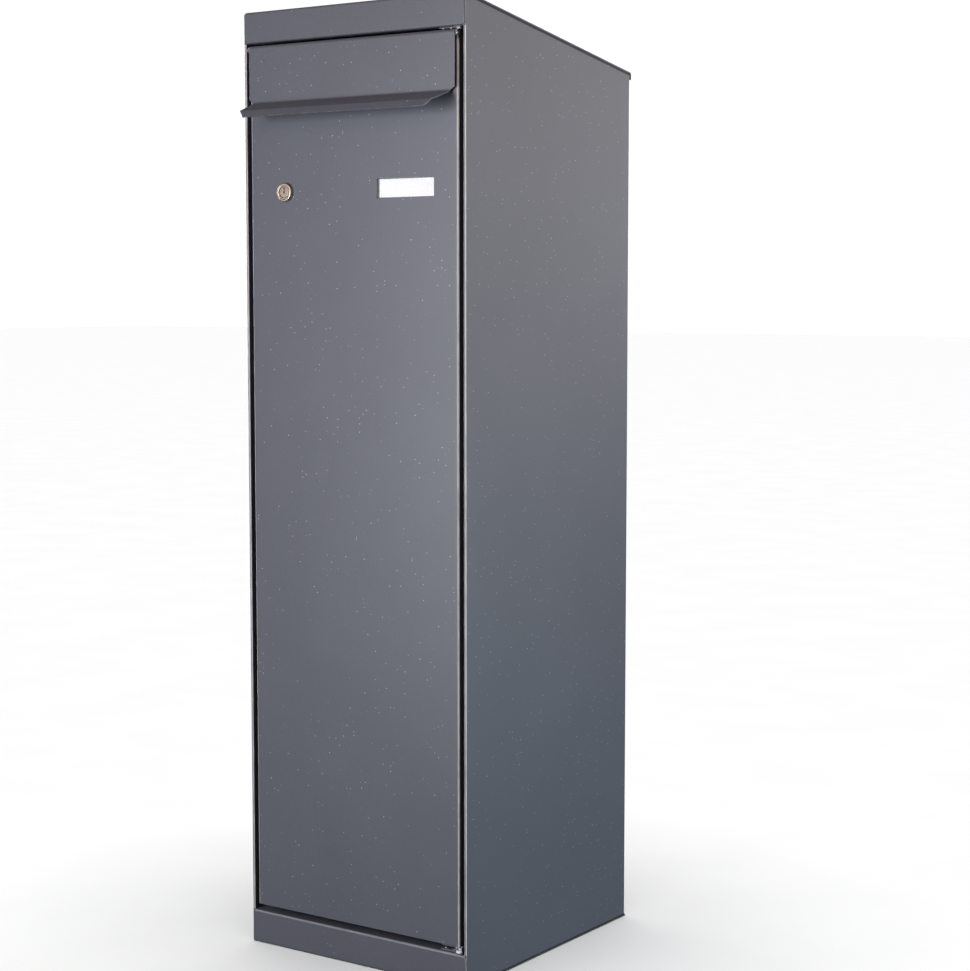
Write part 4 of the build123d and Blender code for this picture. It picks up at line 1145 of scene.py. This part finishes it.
@dataclass
class Studio:
    """Pale floor, white surround, softboxes and the camera."""

    dome_low: float = 0.007
    dome_high: float = 0.054
    floor_shade: Colour = (0.90, 0.90, 0.90)
    floor_half: float = 30.0
    floor_light: float = 3.35
    floor_softness: float = 50.0
    floor_drop: float = 0.1 * MM
    surround: float = 1.05
    lights: tuple[Softbox, ...] = (
        Softbox("strip", (-0.42, -1.75, 0.62), (0.10, -0.16, 0.62), 0.50, 1.10, 30.0, Tint.COOL),
        Softbox("brow", (0.10, -1.30, 1.30), (0.0, -0.16, 0.80), 0.9, 0.5, 3.5, Tint.ROSY),
        Softbox("right_near", (1.30, -0.15, 1.35), (0.15, 0.0, 0.8), 0.6, 0.6, 8.0),
        Softbox("right_rear", (1.5, 1.35, 0.95), (0.15, 0.0, 0.6), 1.0, 1.3, 6.5, Tint.WARM),
        Softbox("low_right", (1.3, 0.25, 0.25), (0.15, 0.0, 0.3), 0.8, 0.4, 10.0, Tint.COLD),
        Softbox("left_rim", (-1.5, 1.5, 0.8), (-0.15, -0.15, 0.55), 0.5, 1.2, 10.0),
        Softbox("left_far", (-2.0, 0.15, 0.9), (-0.15, 0.0, 0.6), 0.8, 1.0, 26.0),
        Softbox("behind", (0.3, 2.3, 1.1), (0.0, 0.16, 0.6), 0.8, 1.0, 24.0),
        Softbox("overhead", (0.0, 0.9, 2.6), (0.0, 0.1, 1.0), 1.4, 1.2, 17.0),
    )
    camera_place: tuple[float, float, float] = (1.406, -1.919, 0.741)
    camera_azimuth: float = 35.03
    camera_tilt: float = 5.34
    lens: float = 77.36
    sensor: float = 36.0

    def build(self) -> None:
        """Make the stage."""
        floor = self.floor()
        self.world()
        off_floor = bpy.data.collections.new("all_but_floor")
        off_floor.objects.link(floor)
        off_floor.collection_objects[0].light_linking.link_state = "EXCLUDE"
        for light in self.lights:
            light.build().light_linking.receiver_collection = off_floor
        self.camera()

    def floor(self) -> bpy.types.Object:
        """A large pale floor with a lamp of its own, so that it casts no light on the object.

        Returns:
            The floor.
        """
        half = self.floor_half
        mesh = bpy.data.meshes.new("floor")
        corners = [(-half, -half, 0), (half, -half, 0), (half, half, 0), (-half, half, 0)]
        mesh.from_pydata(corners, [], [(0, 1, 2, 3)])
        g = Graph("pale_floor")
        tone = g.ramp(g.noise(6.0, 3.0), 0.3, 0.7)
        light = tuple(min(1.0, c * 1.02) for c in self.floor_shade)
        g.feed(Base_Color=g.blend(tone, self.floor_shade, light))
        g.set(Roughness=0.9, Specular_IOR_Level=0.1)
        floor = new_piece("floor", mesh, g.material)
        floor.location.z = -self.floor_drop
        floor.visible_diffuse = False
        floor.visible_glossy = False
        floor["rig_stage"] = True
        lamp = bpy.data.lights.new("floor_lamp", "SUN")
        lamp.energy = self.floor_light
        lamp.angle = math.radians(self.floor_softness)
        sun = bpy.data.objects.new("floor_lamp", lamp)
        bpy.context.scene.collection.objects.link(sun)
        only = bpy.data.collections.new("floor_only")
        only.objects.link(floor)
        sun.light_linking.receiver_collection = only
        return floor

    def world(self) -> None:
        """White to look at, and a soft grey dome to light with, brighter overhead."""
        world = bpy.data.worlds.new("surround")
        bpy.context.scene.world = world
        world.use_nodes = True
        tree = world.node_tree
        tree.nodes.clear()
        seen, dome = tree.nodes.new("ShaderNodeBackground"), tree.nodes.new("ShaderNodeBackground")
        seen.inputs["Color"].default_value = (1.0, 1.0, 1.0, 1.0)
        seen.inputs["Strength"].default_value = self.surround
        dome.inputs["Color"].default_value = (1.0, 1.0, 1.0, 1.0)
        place = tree.nodes.new("ShaderNodeTexCoord")
        split = tree.nodes.new("ShaderNodeSeparateXYZ")
        rise = tree.nodes.new("ShaderNodeMapRange")
        rise.interpolation_type = "SMOOTHSTEP"
        rise.inputs["From Min"].default_value = -0.3
        rise.inputs["From Max"].default_value = 0.9
        rise.inputs["To Min"].default_value = self.dome_low
        rise.inputs["To Max"].default_value = self.dome_high
        tree.links.new(place.outputs["Generated"], split.inputs["Vector"])
        tree.links.new(split.outputs["Z"], rise.inputs["Value"])
        tree.links.new(rise.outputs["Result"], dome.inputs["Strength"])
        path, mix = tree.nodes.new("ShaderNodeLightPath"), tree.nodes.new("ShaderNodeMixShader")
        output = tree.nodes.new("ShaderNodeOutputWorld")
        tree.links.new(path.outputs["Is Camera Ray"], mix.inputs[0])
        tree.links.new(dome.outputs["Background"], mix.inputs[1])
        tree.links.new(seen.outputs["Background"], mix.inputs[2])
        tree.links.new(mix.outputs["Shader"], output.inputs["Surface"])

    def camera(self) -> None:
        """The main camera."""
        data = bpy.data.cameras.new("camera")
        data.lens = self.lens
        data.sensor_width = self.sensor
        data.clip_start = 0.05
        data.clip_end = 200.0
        camera = bpy.data.objects.new("camera", data)
        camera.location = self.camera_place
        azimuth, tilt = math.radians(self.camera_azimuth), math.radians(self.camera_tilt)
        level = math.cos(tilt)
        look = Vector((-math.sin(azimuth) * level, math.cos(azimuth) * level, -math.sin(tilt)))
        camera.rotation_euler = look.to_track_quat("-Z", "Y").to_euler()
        bpy.context.scene.collection.objects.link(camera)
        bpy.context.scene.camera = camera


def plain(corners: Any) -> list[list[float]]:
    """Corners as plain lists of numbers."""
    return [[float(value) for value in corner] for corner in corners]


def main() -> None:
    """Load the frame, build every sub-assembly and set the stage."""
    logging.basicConfig(level=logging.INFO, format="%(name)s: %(message)s")
    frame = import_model()
    bpy.context.scene.view_settings.view_transform = "Standard"
    shop = Workshop(frame, Palette())
    Studio().build()
    for part in (Housing(shop), DoorLeaf(shop), SlotFlap(shop), NamePlate(shop), CamLock(shop)):
        part.build()
    LOG.info("%d pieces in all", shop.count)


if __name__ == "__main__":
    main()
